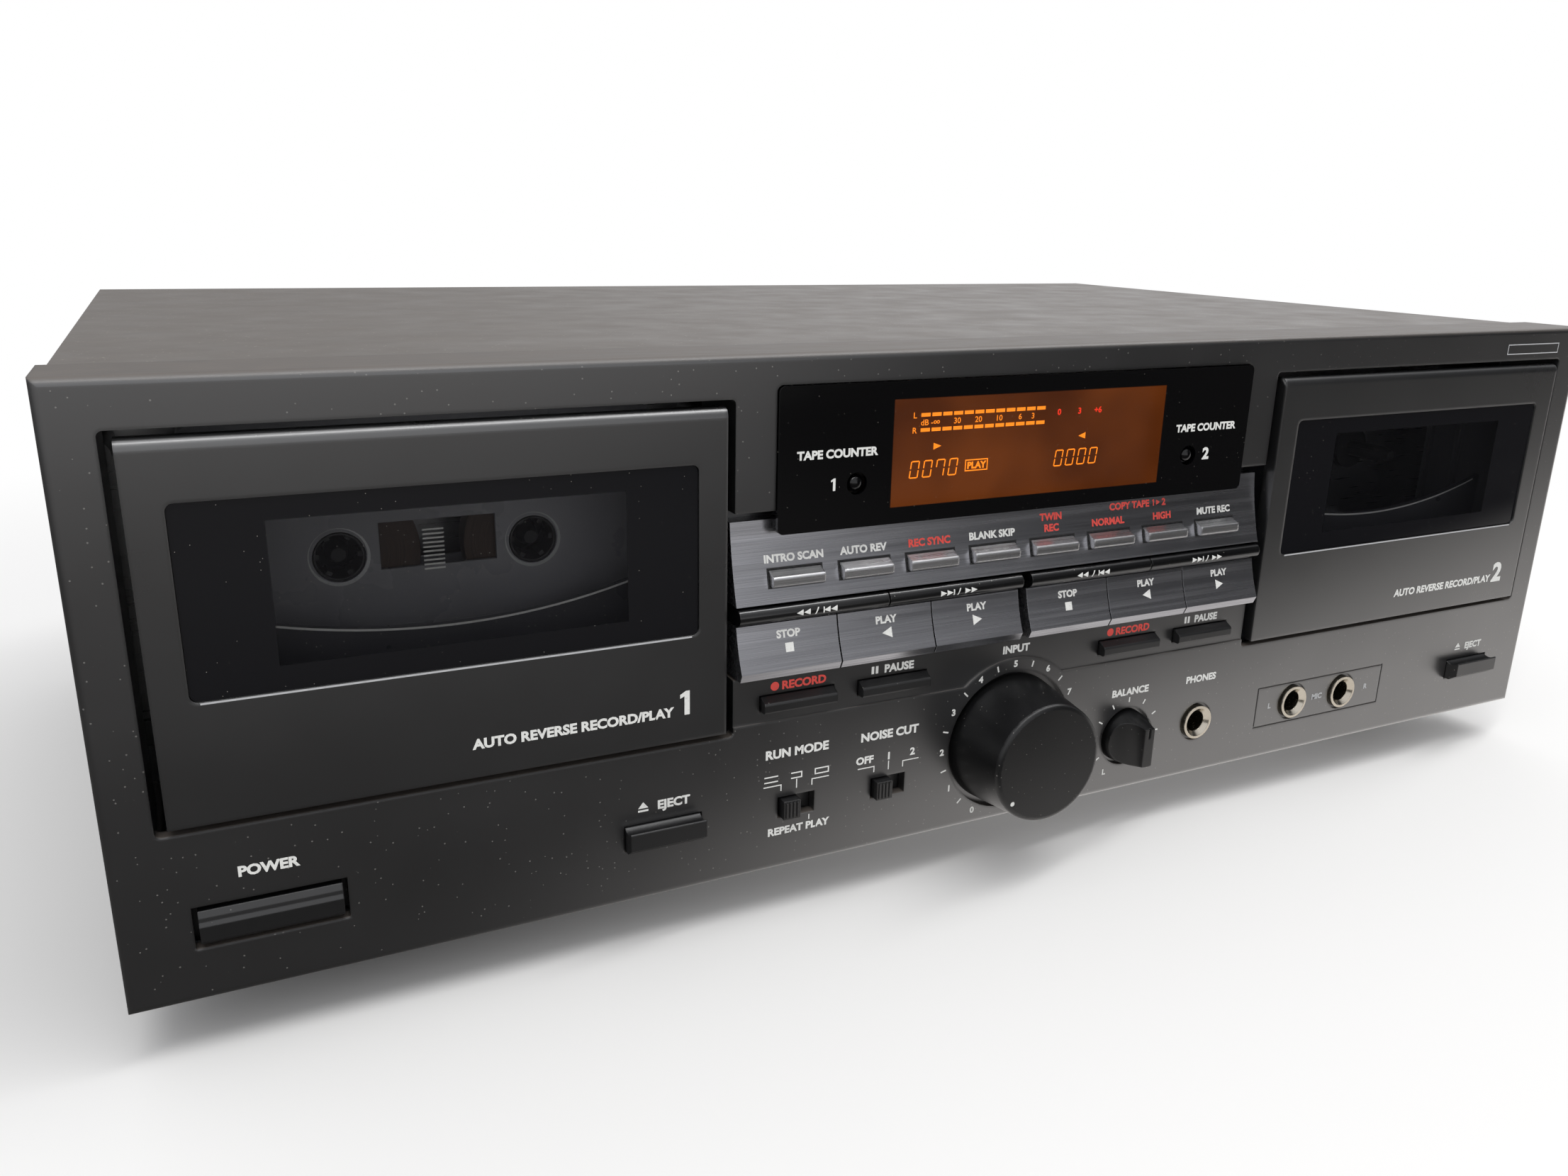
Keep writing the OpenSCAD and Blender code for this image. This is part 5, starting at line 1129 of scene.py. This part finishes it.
@dataclass
class Keys:
    """Control panel, function buttons, winding bars and transport keys."""

    press: Press
    row: float = 81.4
    gap: float = 2.4
    column_x: float = 82.6
    pitch: float = 19.05
    cap_w: float = 13.8
    cap_h: float = 3.7
    cap_z: float = 77.4
    slot: float = 0.55
    slot_line: float = 0.4
    key_face: Surface = hollow((-3.7, 55.6), (0, 66.5), 0.4)
    panel_face: Surface = hollow((-1, 71.6), (3.5, 91.2), 0.6)
    bar_y: float = -0.45
    bar_z: float = 69.05
    bar_r: float = 2.05
    label_z: float = 81.9
    title_z: float = 85.6
    label_cap: float = 1.75

    def build(self) -> None:
        """Dresses the keys and prints their legends."""
        dress("control_panel", KEY_SKIN)
        for number in range(1, 9):
            dress(f"function_button_{number}", CAP_SKIN)
        names = {"stop_key": KEY_SKIN, "reverse_key": KEY_SKIN, "play_key": KEY_SKIN, "rewind_bar": BAR_GLOSS,
                 "forward_bar": BAR_GLOSS, "counter_button": DOME_GLOSS, "record_button": BUTTON_ABS,
                 "pause_button": BUTTON_ABS, "eject_button": BUTTON_ABS}
        for well in WELLS:
            for name, finish in names.items():
                dress(f"{name}_{well}", finish)
            x0 = -self.column_x if well == 1 else self.gap / 2
            self.keys(well, x0)
            self.bars(well, x0)
        self.functions()

    def keys(self, well: int, x0: float) -> None:
        """Prints the words and signs on one well's transport keys.

        Args:
            well: the well's number.
            x0: left end of its row of keys.
        """
        for i, (name, text) in enumerate((("stop_key", "STOP"), ("reverse_key", "PLAY"), ("play_key", "PLAY"))):
            on, x = Ground(f"{name}_{well}", Ink.WHITE.finish, self.key_face), x0 + (i + 0.5) * self.row / 3
            self.press.word(on, text, x, 63.7, 1.7)
            if name == "stop_key":
                self.press.bar(on, x - 1.1, x + 1.1, 59.4, 61.5)
            else:
                self.press.arrow(on, x, 60.5, 2.8 if name == "play_key" else -2.8, 2.6)

    def nose(self, x: float, z: float) -> float:
        """Depth of the winding bars' half-round front."""
        return self.bar_y - math.sqrt(max(self.bar_r ** 2 - (z - self.bar_z) ** 2, 0))

    def bars(self, well: int, x0: float) -> None:
        """Prints the double arrows on one well's winding bars.

        Args:
            well: the well's number.
            x0: left end of its row of keys.
        """
        for i, (name, way) in enumerate((("rewind_bar", -1), ("forward_bar", 1))):
            on = Ground(f"{name}_{well}", Ink.WHITE.finish, Surface(self.nose, facet=0.25))
            x = x0 + (i + 0.5) * self.row / 2
            for shift in (-4.6, -2.7, 2.7, 4.6):
                self.press.arrow(on, x + shift, self.bar_z, way * 1.8, 1.5)
            edge = x - way * 1.7
            self.press.bar(on, edge, edge + 0.35, 68.3, 69.8)
            self.press.shape(on, [(x - 0.55, 68.2), (x - 0.2, 68.2), (x + 0.55, 69.9), (x + 0.2, 69.9)])

    def functions(self) -> None:
        """Prints the words over the function buttons and painted shade in the gaps round their caps."""
        labels = (("INTRO SCAN", Ink.WHITE), ("AUTO REV", Ink.WHITE), ("REC SYNC", Ink.RED), ("BLANK SKIP", Ink.WHITE),
                  ("REC", Ink.RED), ("NORMAL", Ink.RED), ("HIGH", Ink.RED), ("MUTE REC", Ink.WHITE))
        on = {ink: Ground("deck", ink.finish, self.panel_face) for ink in Ink}
        half_w, half_h = self.cap_w / 2 + self.slot, self.cap_h / 2 + self.slot
        for i, (text, ink) in enumerate(labels):
            x = (i - 3.5) * self.pitch
            self.press.word(on[ink], text, x, self.label_z, self.label_cap)
            # Black frames painted round each cap as the shade in its slot.
            self.press.frame(on[Ink.BLACK], x - half_w, x + half_w, self.cap_z - half_h, self.cap_z + half_h,
                             self.slot_line)
        for text, x, z in (("TWIN", 9.5, 84.8), ("COPY TAPE", 36.2, self.title_z), ("2", 48.4, self.title_z)):
            self.press.word(on[Ink.RED], text, x, z, self.label_cap)
        self.press.one(on[Ink.RED], 44.6, self.title_z, self.label_cap)
        self.press.arrow(on[Ink.RED], 46.4, self.title_z, 1.4, 1.5)


@dataclass
class Display:
    """Display window, the amber filter behind it and the lit segments on the filter."""

    press: Press
    filter_y: float = 2.14
    filter_x: float = 44.8
    filter_z: Point = (91.2, 119.8)
    window_y: float = -0.9
    clear: tuple[float, float, float, float] = (-42.4, 41.6, 92.2, 118.6)
    rows_z: Point = (113.9, 110.2)
    scale_z: float = 112.05
    digit_w: float = 2.6
    digit_h: float = 4.4
    digit_line: float = 0.34
    digit_lean: float = 0.12
    digit_step: float = 3.75
    digit_z: float = 98.3
    amber: LitSegment = LitSegment("amber_phosphor", "FF8A1E", 0.4, glow=1.7)
    red: LitSegment = LitSegment("red_phosphor", "FF3A22", 0.4, glow=1.2)

    def on(self, finish: Finish) -> Ground:
        """The filter's face as a ground for lit signs."""
        return Ground("deck", finish, flat(self.filter_y + 0.01))

    def build(self) -> None:
        """Dresses the window and lays out the lit signs."""
        dress("display_window", SmokedPane("smoked_acrylic_display", "050506", 0.07, self.clear, self.window_y))
        dress("display_module", HOLDER_ABS)
        self.filter()
        self.meter()
        self.counter("0070", -35.6)
        self.counter("0000", 8.4)
        amber = self.on(self.amber)
        self.press.arrow(amber, -27.7, 106, 2.3, 1.7)
        self.press.arrow(amber, 17.0, 106, -2.3, 1.7)
        self.press.frame(amber, -19.2, -12.3, 99.0, 102.0, 0.3)
        self.press.word(amber, "PLAY", -15.75, 100.5, 1.6)
        self.window_print()

    def filter(self) -> None:
        """The amber sheet that fills the window's clear area."""
        finish = LitFilter("amber_display_filter", "6A300F", 0.4, glow=0.55)
        mesh = bpy.data.meshes.new("filter")
        (z0, z1), x = self.filter_z, self.filter_x
        corners = [place(u, self.filter_y, v) for u, v in ((-x, z0), (x, z0), (x, z1), (-x, z1))]
        mesh.from_pydata(corners, [], [[0, 1, 2, 3]])
        show("display.filter", mesh, finish, "deck")

    def meter(self) -> None:
        """Two rows of level segments with their scale, and the red overload numbers."""
        tree, amber, red = bar_row(), self.on(self.amber), self.on(self.red)
        for row, (side, z) in enumerate(zip("LR", self.rows_z)):
            mesh = run_nodes(tree, {"Count": 12, "Start": place(-31.5, self.filter_y - 0.02, z),
                                    "Step": Vector((3.15, 0, 0)) * MM, "Size": Vector((2.65, 0.02, 0.9)) * MM,
                                    "Finish": self.amber.material()})
            show(f"meter.row_{row + 1}", mesh, self.amber, "deck")
            self.press.word(amber, side, -34.6, z, 1.4, weight=0.01)
        for text, x in (("dB -∞", -30.1), ("30", -22.3), ("20", -16), ("10", -9.8), ("6", -3.3), ("3", 0.7)):
            self.press.word(amber, text, x, self.scale_z, 1.4, weight=0.01)
        for text, x in (("0", 9.0), ("3", 15.6), ("+6", 21.6)):
            self.press.word(red, text, x, 112.6, 1.5, weight=0.03)

    def counter(self, digits: str, x0: float) -> None:
        """Seven-segment digits of one tape counter.

        Args:
            digits: the number shown.
            x0: left edge of the first digit.
        """
        lit = {"0": "abcdef", "7": "abcf"}
        w, h, t = self.digit_w, self.digit_h, self.digit_line
        bars = {"a": (0.3, h - t, w - 0.3, h), "b": (w - t, h / 2 + 0.2, w, h - 0.2), "c": (w - t, 0.2, w, h / 2 - 0.2),
                "d": (0.3, 0, w - 0.3, t), "e": (0, 0.2, t, h / 2 - 0.2), "f": (0, h / 2 + 0.2, t, h - 0.2)}
        for i, digit in enumerate(digits):
            x = x0 + i * self.digit_step
            for left, low, right, high in (bars[part] for part in lit[digit]):
                corners = ((left, low), (right, low), (right, high), (left, high))
                outline = [(x + u + self.digit_lean * v, self.digit_z + v) for u, v in corners]
                self.press.shape(self.on(self.amber), outline)

    def window_print(self) -> None:
        """Legends on the window beside the counter buttons."""
        on = Ground("deck", Ink.WHITE.finish, flat(self.window_y))
        for side in (-1, 1):
            self.press.word(on, "TAPE COUNTER", side * 57.2, 106.6, 1.9)
        self.press.one(on, -58.2, 99.2, 3.0)
        self.press.word(on, "2", 58.2, 99.2, 3.0)


@dataclass
class Wells:
    """Doors, panes, holders, the cassette and what turns behind it."""

    press: Press
    well_x: float = 145.5
    door_y: float = -1.3
    pane_y: float = -0.8
    clear_x: float = 36.5
    clear_z: Point = (71.8, 101.8)
    hub_z: float = 86.8
    hub: float = 21.25
    hub_r: float = 6.5
    tape_y: float = 22.0
    lip_y: float = 12.0
    lip_z: float = 72.1
    lip_r: float = 157.0
    lip_half: float = 48.0
    lip_line: float = 0.5
    lip_steps: int = 24
    sill: float = 51.4
    sill_z: float = 66.5
    sill_line: float = 0.4

    def build(self) -> None:
        """Dresses both wells, then the cassette in the first."""
        for well, side in zip(WELLS, (-1, 1)):
            self.well(well, side * self.well_x)
        dress("cassette_shell", SHELL_GREY)
        for hand, shift in (("left", -self.hub), ("right", self.hub)):
            dress(f"cassette_reel_{hand}", WoundTape(f"wound_oxide_tape_{hand}", "33251C", 0.35,
                                                     hub_x=-self.well_x + shift, hub_z=self.hub_z, core_mm=self.hub_r))
        self.tape_marks()

    def well(self, number: int, mid: float) -> None:
        """Dresses one well, prints its door and paints a highlight along the sill of the door's opening.

        Args:
            number: the well's number.
            mid: the well's middle.
        """
        body = f"door_{number}"
        dress(body, DOOR_ABS)
        clear = (mid - self.clear_x, mid + self.clear_x, *self.clear_z)
        dress(f"door_window_{number}", SmokedPane(f"smoked_acrylic_pane_{number}", "111114", 0.06, clear, self.pane_y))
        self.lip(body, mid)
        # A grey line painted under the pane's opening as the highlight of its lower edge.
        sill_highlight = Ground(body, Ink.GREY.finish, flat(self.door_y))
        self.press.bar(sill_highlight, mid - self.sill, mid + self.sill, self.sill_z - self.sill_line, self.sill_z)
        dress(f"cassette_holder_{number}", HOLDER_ABS)
        for hand in ("left", "right"):
            dress(f"spindle_{hand}_{number}", NYLON)
        on = Ground(body, Ink.WHITE.finish, flat(self.door_y))
        self.press.word(on, "AUTO REVERSE RECORD/PLAY", mid + 46.6, 48.4, 2.2, align=Align.END)
        if number == 1:
            self.press.one(on, mid + 49.6, 50.2, 6.0)
        else:
            self.press.word(on, str(number), mid + 49.9, 50.2, 6.0)

    def lip(self, body: str, mid: float) -> None:
        """A painted highlight along the top of a holder's hollow lip.

        Args:
            body: the door that carries the holder.
            mid: the well's middle.
        """
        count = self.lip_steps
        steps = [2 * self.lip_half * i / count - self.lip_half for i in range(count + 1)]
        top = [self.lip_z + self.lip_r - math.sqrt(self.lip_r ** 2 - u ** 2) for u in steps]
        points = [(mid + u, z - drop) for drop in (self.lip_line, 0.0) for u, z in zip(steps, top)]
        faces = [[i, i + 1, i + count + 2, i + count + 1] for i in range(count)]
        # White ink painted along the lip's top edge as its highlight.
        self.press.lay(Ground(body, Ink.WHITE.finish, flat(self.lip_y)), points, faces)

    def tape_marks(self) -> None:
        """Scale lines across the cassette's window, a painted highlight on the rim of each hub and plain rules on its
        face.
        """
        finish, mid = Ink.WHITE.finish, -self.well_x
        mesh = run_nodes(bar_row(), {"Count": 10, "Start": place(mid - 1.2, self.tape_y - 0.06, 82.3),
                                     "Step": Vector((0, 0, 1)) * MM, "Size": Vector((4.6, 0.1, 0.4)) * MM,
                                     "Finish": finish.material()})
        show("cassette.scale", mesh, finish, "door_1")
        # Grey crescents painted round each hub as its highlight, widest where the lower edge faces the light.
        rim_highlights = Ground("door_1", Ink.GREY.finish, flat(self.tape_y))
        for shift in (-self.hub, self.hub):
            self.press.ring(rim_highlights, mid + shift, self.hub_z, self.hub_r, 0.45, lean=(-0.2, 0.32))
        for z in (105.2, 107.6):
            self.press.bar(Ground("door_1", finish, flat(self.tape_y)), mid - 40, mid + 40, z, z + 0.3)


@dataclass
class Dials:
    """Level and balance dials, slide switches, the power button and the jacks."""

    press: Press
    turn: float = 131.0
    dot_r: float = 14.4
    dot: float = 0.68
    dial_z: float = 23.4
    face_y: float = -17.25
    row_z: float = 17.1
    taper: float = 32.0
    ridge_y: float = -2.4
    ridge_x: Point = (-69.1, -42.3)

    def build(self) -> None:
        """Dresses the dials and adds the pointer dot and the switches' ridges."""
        dress("input_knob", KNOB_ABS)
        self.balance()
        for node in ("mode_switch", "noise_switch", "power_button"):
            dress(node, BUTTON_ABS)
        dress("jack_sockets", NICKEL)
        angle = math.radians(self.turn)
        x, z = -self.dot_r * math.sin(angle), self.dial_z + self.dot_r * math.cos(angle)
        self.press.disc(Ground("input_knob", Ink.WHITE.finish, flat(self.face_y)), x, z, self.dot)
        tree = bar_row()
        for name, x0 in zip(("mode_switch", "noise_switch"), self.ridge_x):
            mesh = run_nodes(tree, {"Count": 4, "Start": place(x0, self.ridge_y, self.row_z),
                                    "Step": Vector((1, 0, 0)) * MM, "Size": Vector((0.5, 0.5, 4.2)) * MM,
                                    "Finish": BUTTON_ABS.material()})
            show(f"ridges.{name}", mesh, BUTTON_ABS, name)

    def balance(self) -> None:
        """The balance dial, whose grip narrows towards its front."""
        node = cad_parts["balance_knob"]
        mesh = node.data.copy()
        mesh.transform(node.matrix_world)
        root = place(0, -1, self.row_z)
        for vert in mesh.vertices:
            vert.co.z = root.z + (vert.co.z - root.z) * (1 - self.taper * max(0.0, root.y - vert.co.y))
        mesh.materials.clear()
        piece = show("dial.balance", mesh, KNOB_ABS, "balance_knob")
        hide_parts("balance_knob")


@dataclass
class Case:
    """Cover, tray, feet, screws and the rear wall's sockets."""

    head_r: float = 3.5
    head_h: float = 1.35
    shank_r: float = 1.5
    shank_h: float = 3.6
    cross: tuple[float, float, float] = (4.4, 1.1, 2.0)
    side_x: float = 216.0
    side_z: float = 10.0
    rear_y: float = 255.0
    rear_z: float = 118.0

    def build(self) -> None:
        """Dresses the case and swaps its plain screws for cross-headed ones."""
        for node, finish in (("front_bezel", FRONT_ABS), ("top_cover", COVER_STEEL), ("chassis_tray", TRAY_STEEL),
                             ("feet", RUBBER), ("rear_sockets", SOCKETS)):
            dress(node, finish)
        self.screws()

    def screw(self) -> Object:
        """A pan-head screw with a cross recess, its axis along Z and its seat at the origin.

        Returns:
            The screw's object.
        """
        shape = bmesh.new()
        top, r, end = self.head_h, self.shank_r, -self.shank_h
        profile = ((0.0, top), (1.6, top), (2.6, top - 0.12), (3.2, top - 0.5), (self.head_r, top - 1.0),
                   (self.head_r, 0.0), (r, 0.0), (r, end + 0.2), (r - 0.4, end), (0.0, end))
        verts = [shape.verts.new((u * MM, 0, v * MM)) for u, v in profile]
        edges = [shape.edges.new(pair) for pair in zip(verts, verts[1:])]
        bmesh.ops.spin(shape, geom=verts + edges, axis=(0, 0, 1), cent=(0, 0, 0), steps=24, angle=2 * math.pi)
        bmesh.ops.remove_doubles(shape, verts=shape.verts, dist=1e-6)
        bmesh.ops.recalc_face_normals(shape, faces=shape.faces)
        obj = self.link("screw", shape)
        cutter = bmesh.new()
        raised = Matrix.Translation((0, 0, (top + 0.2) * MM))
        for turn in (0, math.pi / 2):
            made = bmesh.ops.create_cube(cutter, size=1)["verts"]
            size = Matrix.Diagonal((*(side * MM for side in self.cross), 1))
            bmesh.ops.transform(cutter, verts=made, matrix=raised @ Matrix.Rotation(turn, 4, "Z") @ size)
        tool = self.link("cross", cutter)
        cut = obj.modifiers.new("cross", "BOOLEAN")
        cut.operation, cut.object, cut.solver, cut.use_self = "DIFFERENCE", tool, "EXACT", True
        graph = bpy.context.evaluated_depsgraph_get()
        mesh = bpy.data.meshes.new_from_object(obj.evaluated_get(graph), depsgraph=graph)
        obj.modifiers.remove(cut)
        obj.data = mesh
        bpy.data.objects.remove(tool)
        return obj

    def link(self, name: str, shape: bmesh.types.BMesh) -> Object:
        """Turns a bmesh into an object of the scene.

        Args:
            name: the object's name.
            shape: the bmesh, which is freed.

        Returns:
            The new object.
        """
        mesh = bpy.data.meshes.new(name)
        shape.to_mesh(mesh)
        shape.free()
        obj = bpy.data.objects.new(name, mesh)
        bpy.context.collection.objects.link(obj)
        return obj

    def screws(self) -> None:
        """Sets a screw at each hole of the cover's sides and of the rear wall."""
        right = math.pi / 2
        spots = [(side * self.side_x, y, self.side_z, (0, side * right, 0)) for side in (-1, 1) for y in (60, 210)]
        spots += [(x, self.rear_y, self.rear_z, (-right, 0, 0)) for x in (-190, -60, 60, 190)]
        points = bpy.data.meshes.new("screw_spots")
        points.from_pydata([place(x, y, z) for x, y, z, _ in spots], [], [])
        turn = points.attributes.new("turn", "FLOAT_VECTOR", "POINT")
        for item, (*_, lean) in zip(turn.data, spots):
            item.vector = lean
        screw = self.screw()
        mesh = run_nodes(screw_set(), {"Screw": screw, "Seed": 7, "Finish": SCREW_STEEL.material()}, points)
        bpy.data.objects.remove(screw)
        piece = show("screws.cross_head", mesh, SCREW_STEEL, "deck")
        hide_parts("case_screws")


@dataclass
class RearLegends:
    """Plain words printed on the rear wall and on the socket banks, turned to be read from behind."""

    press: Press
    wall_y: float = 255.0
    plate_y: float = 256.5
    banks: Point = (120.0, 60.0)
    inlet_x: float = -160.0
    socket_z: float = 32.0
    squeeze: float = -1.06

    def build(self) -> None:
        """Prints the sockets' names."""
        wall = Ground("deck", Ink.BLACK.finish, flat(self.wall_y, -PRINT_LIFT))
        plate = Ground("deck", Ink.WHITE.finish, flat(self.plate_y, -PRINT_LIFT))
        words = [(wall, "AC IN", self.inlet_x, 48.0, 2.8)]
        for number, x in zip(WELLS, self.banks):
            words += [(wall, f"TAPE {number}", x, 59.6, 3.2), (wall, "IN", x + 10, 53.0, 2.8),
                      (wall, "OUT", x - 10, 53.0, 2.8), (plate, "L", x, self.socket_z + 8, 2.6),
                      (plate, "R", x, self.socket_z - 8, 2.6)]
        for word in words:
            self.press.word(*word, squeeze=self.squeeze)


@dataclass
class Inside:
    """Boards, transformer and drives inside the case."""

    boards: tuple[str, ...] = ("main_board", "key_board")
    drives: tuple[str, ...] = ("mechanism_plates", "tape_heads", "drive_motors")

    def build(self) -> None:
        """Dresses what the case holds."""
        for node in self.boards:
            dress(node, BOARD)
        dress("power_transformer", CORE_IRON)
        for node in self.drives:
            dress(node, PLATE_STEEL)


@dataclass(frozen=True)
class Step:
    """A smooth step in brightness along a direction of the floor or of the room."""

    way: tuple[float, float, float]
    start: float
    end: float
    low: float
    high: float

    def lay(self, tree: Tree, spot: Socket) -> Node:
        """Adds the step to a tree.

        Args:
            tree: the floor's or the world's tree.
            spot: the coordinates that it runs along.

        Returns:
            The level there, which goes from low at the start to high at the end.
        """
        along = add(tree, "ShaderNodeVectorMath", (spot, self.way), operation="DOT_PRODUCT")
        return add(tree, "ShaderNodeMapRange", (along, self.start, self.end, self.low, self.high),
                   interpolation_type="SMOOTHSTEP")


@dataclass
class Floor:
    """A pale floor: shadowed near the deck, white further off, and darker in reflections past the table's edge."""

    half: float = 8.0
    fade: Point = (0.3, 0.65)
    paint: str = "F6F5F3"
    shine: str = "FFFBF8"
    near: Step = Step((1, 0, 0), -0.18, 0.04, 0.08, 1.0)
    dim: Step = Step((1, 0, 0), -0.1, 0.3, 1.0, 0.3)
    off: Step = Step((0, 1, 0), -0.55, -0.2, 0.19, 0.08)
    lane: Step = Step((1, 0.6, 0), -0.4, -0.1, 0.9, 0.0)
    deep: Step = Step((0, 1, 0), -1.6, -0.9, 1.0, 0.0)
    edge: Step = Step((0.27, 1, 0), -0.225, -0.15, 0.0, 1.0)

    def build(self) -> None:
        """Makes the floor's sheet."""
        mesh = bpy.data.meshes.new("floor")
        half = self.half
        mesh.from_pydata([(-half, -half, 0), (half, -half, 0), (half, half, 0), (-half, half, 0)], [], [[0, 1, 2, 3]])
        obj = bpy.data.objects.new("floor", mesh)
        bpy.context.collection.objects.link(obj)
        mesh.materials.append(self.material())

    def material(self) -> bpy.types.Material:
        """Paint that the camera sees fade to white and that reflections see at the levels of the steps.

        Returns:
            The floor's material.
        """
        paint = bpy.data.materials.new("pale_studio_floor")
        paint.use_nodes = True
        paint.cycles.emission_sampling = "NONE"
        tree = paint.node_tree
        tree.nodes.clear()
        spot = add(tree, "ShaderNodeTexCoord").outputs["Object"]
        reach = add(tree, "ShaderNodeVectorMath", (spot,), operation="LENGTH")
        away = add(tree, "ShaderNodeMapRange", (reach, *self.fade, 0.0, 1.0), interpolation_type="SMOOTHSTEP")
        lit = add(tree, "ShaderNodeBsdfDiffuse", {"Color": self.paint})
        white = add(tree, "ShaderNodeEmission", {"Color": "FFFFFF", "Strength": 1.0})
        seen = add(tree, "ShaderNodeMixShader", (away, lit, white))
        near, dim, off, lane, deep, edge = (step.lay(tree, spot) for step in (self.near, self.dim, self.off, self.lane,
                                                                              self.deep, self.edge))
        dark = add(tree, "ShaderNodeMath", (dim, off), operation="MULTIPLY")
        bright = add(tree, "ShaderNodeMath", (lane, deep), operation="MULTIPLY")
        far = add(tree, "ShaderNodeMath", (dark, bright), operation="MAXIMUM")
        level = add(tree, "ShaderNodeMix", {"Factor": edge, "A": far, "B": near})
        table = add(tree, "ShaderNodeEmission", {"Color": self.shine, "Strength": level})
        path = add(tree, "ShaderNodeLightPath")
        plain = add(tree, "ShaderNodeMixShader", (path.outputs["Is Glossy Ray"], lit, table))
        both = add(tree, "ShaderNodeMixShader", (path.outputs["Is Camera Ray"], plain, seen))
        add(tree, "ShaderNodeOutputMaterial", {"Surface": both})
        return paint


@dataclass
class Room:
    """The world: white to the camera; in reflections bright above and behind, and dim where the front faces."""

    tint: str = "F6F7FA"
    level: float = 0.8
    rise: Step = Step((0, 0, 1), 0.0, 0.4, 0.08, 0.5)
    turn: Step = Step((1, 0, 0), 0.42, 0.68, 1.0, 0.1)
    window: Step = Step((1, 0, 0.3), 0.41, 0.52, 1.0, 0.0)
    front: Step = Step((0, 1, 0), -0.25, 0.25, 0.0, 1.0)
    behind: Step = Step((1, 0, 0), 0.05, 0.6, 0.42, 1.0)
    above: Step = Step((0, 0, 1), 0.6, 0.85, 0.0, 1.0)

    def build(self) -> None:
        """Makes the world."""
        world = bpy.data.worlds.new("studio")
        bpy.context.scene.world = world
        world.use_nodes = True
        world.cycles.sampling_method = "NONE"
        tree = world.node_tree
        tree.nodes.clear()
        way = add(tree, "ShaderNodeTexCoord").outputs["Generated"]
        rise, turn, window, front, behind, above = (step.lay(tree, way) for step in (
            self.rise, self.turn, self.window, self.front, self.behind, self.above))
        room = add(tree, "ShaderNodeMath", (rise, turn), operation="MULTIPLY")
        ahead = add(tree, "ShaderNodeMath", (room, window), operation="MAXIMUM")
        side = add(tree, "ShaderNodeMix", {"Factor": front, "A": ahead, "B": behind})
        shine = add(tree, "ShaderNodeMix", {"Factor": above, "A": side, "B": 1.0})
        path = add(tree, "ShaderNodeLightPath")
        level = add(tree, "ShaderNodeMix", {"Factor": path.outputs["Is Glossy Ray"], "A": self.level, "B": shine})
        soft = add(tree, "ShaderNodeBackground", {"Color": self.tint, "Strength": level})
        white = add(tree, "ShaderNodeBackground", {"Color": "FFFFFF", "Strength": 1.0})
        mix = add(tree, "ShaderNodeMixShader", (path.outputs["Is Camera Ray"], soft, white))
        add(tree, "ShaderNodeOutputWorld", {"Surface": mix})


@dataclass
class Studio:
    """The lamp over the deck and the camera at the photograph's angle."""

    lamp_at: tuple[float, float, float] = (0.2, -0.3, 1.05)
    lamp_aim: tuple[float, float, float] = (0.1, -0.05, 0.1)
    lamp_size: Point = (2.2, 0.16)
    lamp_watts: float = 8.0
    eye: tuple[float, float, float] = (-192.565, -247.883, 159.842)
    axis: tuple[float, float, float] = (0.29753568, -0.45233606, -0.04764844)
    focal_px: float = 1717.2
    image_px: float = 2212.0
    sensor: float = 36.0
    clip: float = 0.01

    def build(self) -> None:
        """Hangs the lamp and stands the camera."""
        self.lamp()
        self.camera()
        bpy.context.scene.view_settings.view_transform = "Standard"

    def lamp(self) -> None:
        """Hangs a long soft lamp over the deck."""
        data = bpy.data.lights.new("overhead_softbox", "AREA")
        data.shape = "RECTANGLE"
        data.size, data.size_y = self.lamp_size
        data.energy = self.lamp_watts
        obj = bpy.data.objects.new("overhead_softbox", data)
        obj.location = self.lamp_at
        obj.rotation_euler = (Vector(self.lamp_aim) - Vector(self.lamp_at)).to_track_quat("-Z", "Y").to_euler()
        bpy.context.collection.objects.link(obj)

    def camera(self) -> None:
        """Stands the camera where the photograph was taken."""
        data = bpy.data.cameras.new("camera")
        data.sensor_width = self.sensor
        data.lens = self.focal_px / self.image_px * self.sensor
        data.clip_start = self.clip
        obj = bpy.data.objects.new("camera", data)
        bpy.context.collection.objects.link(obj)
        axis = Vector(self.axis)
        turn = Matrix.Rotation(axis.length, 3, axis.normalized()) @ Matrix(((1, 0, 0), (0, 0, -1), (0, 1, 0)))
        right, down, ahead = turn
        pose = Matrix((right, -down, -ahead)).transposed().to_4x4()
        pose.translation = place(*self.eye)
        obj.matrix_world = pose
        bpy.context.scene.camera = obj


def main() -> None:
    """Builds the deck's sub-assemblies in order, then the studio round them."""
    logging.basicConfig(level=logging.INFO, format="%(name)s: %(message)s")
    press = Press()
    legends = FrontLegends(press)
    deck = (Case(), legends, Keys(press), Display(press), Wells(press), Dials(press), RearLegends(press), Inside())
    for part in deck:
        part.build()
    legends.ticks()
    press.finish_up()
    for part in (Floor(), Room(), Studio()):
        part.build()


if __name__ == "__main__":
    main()
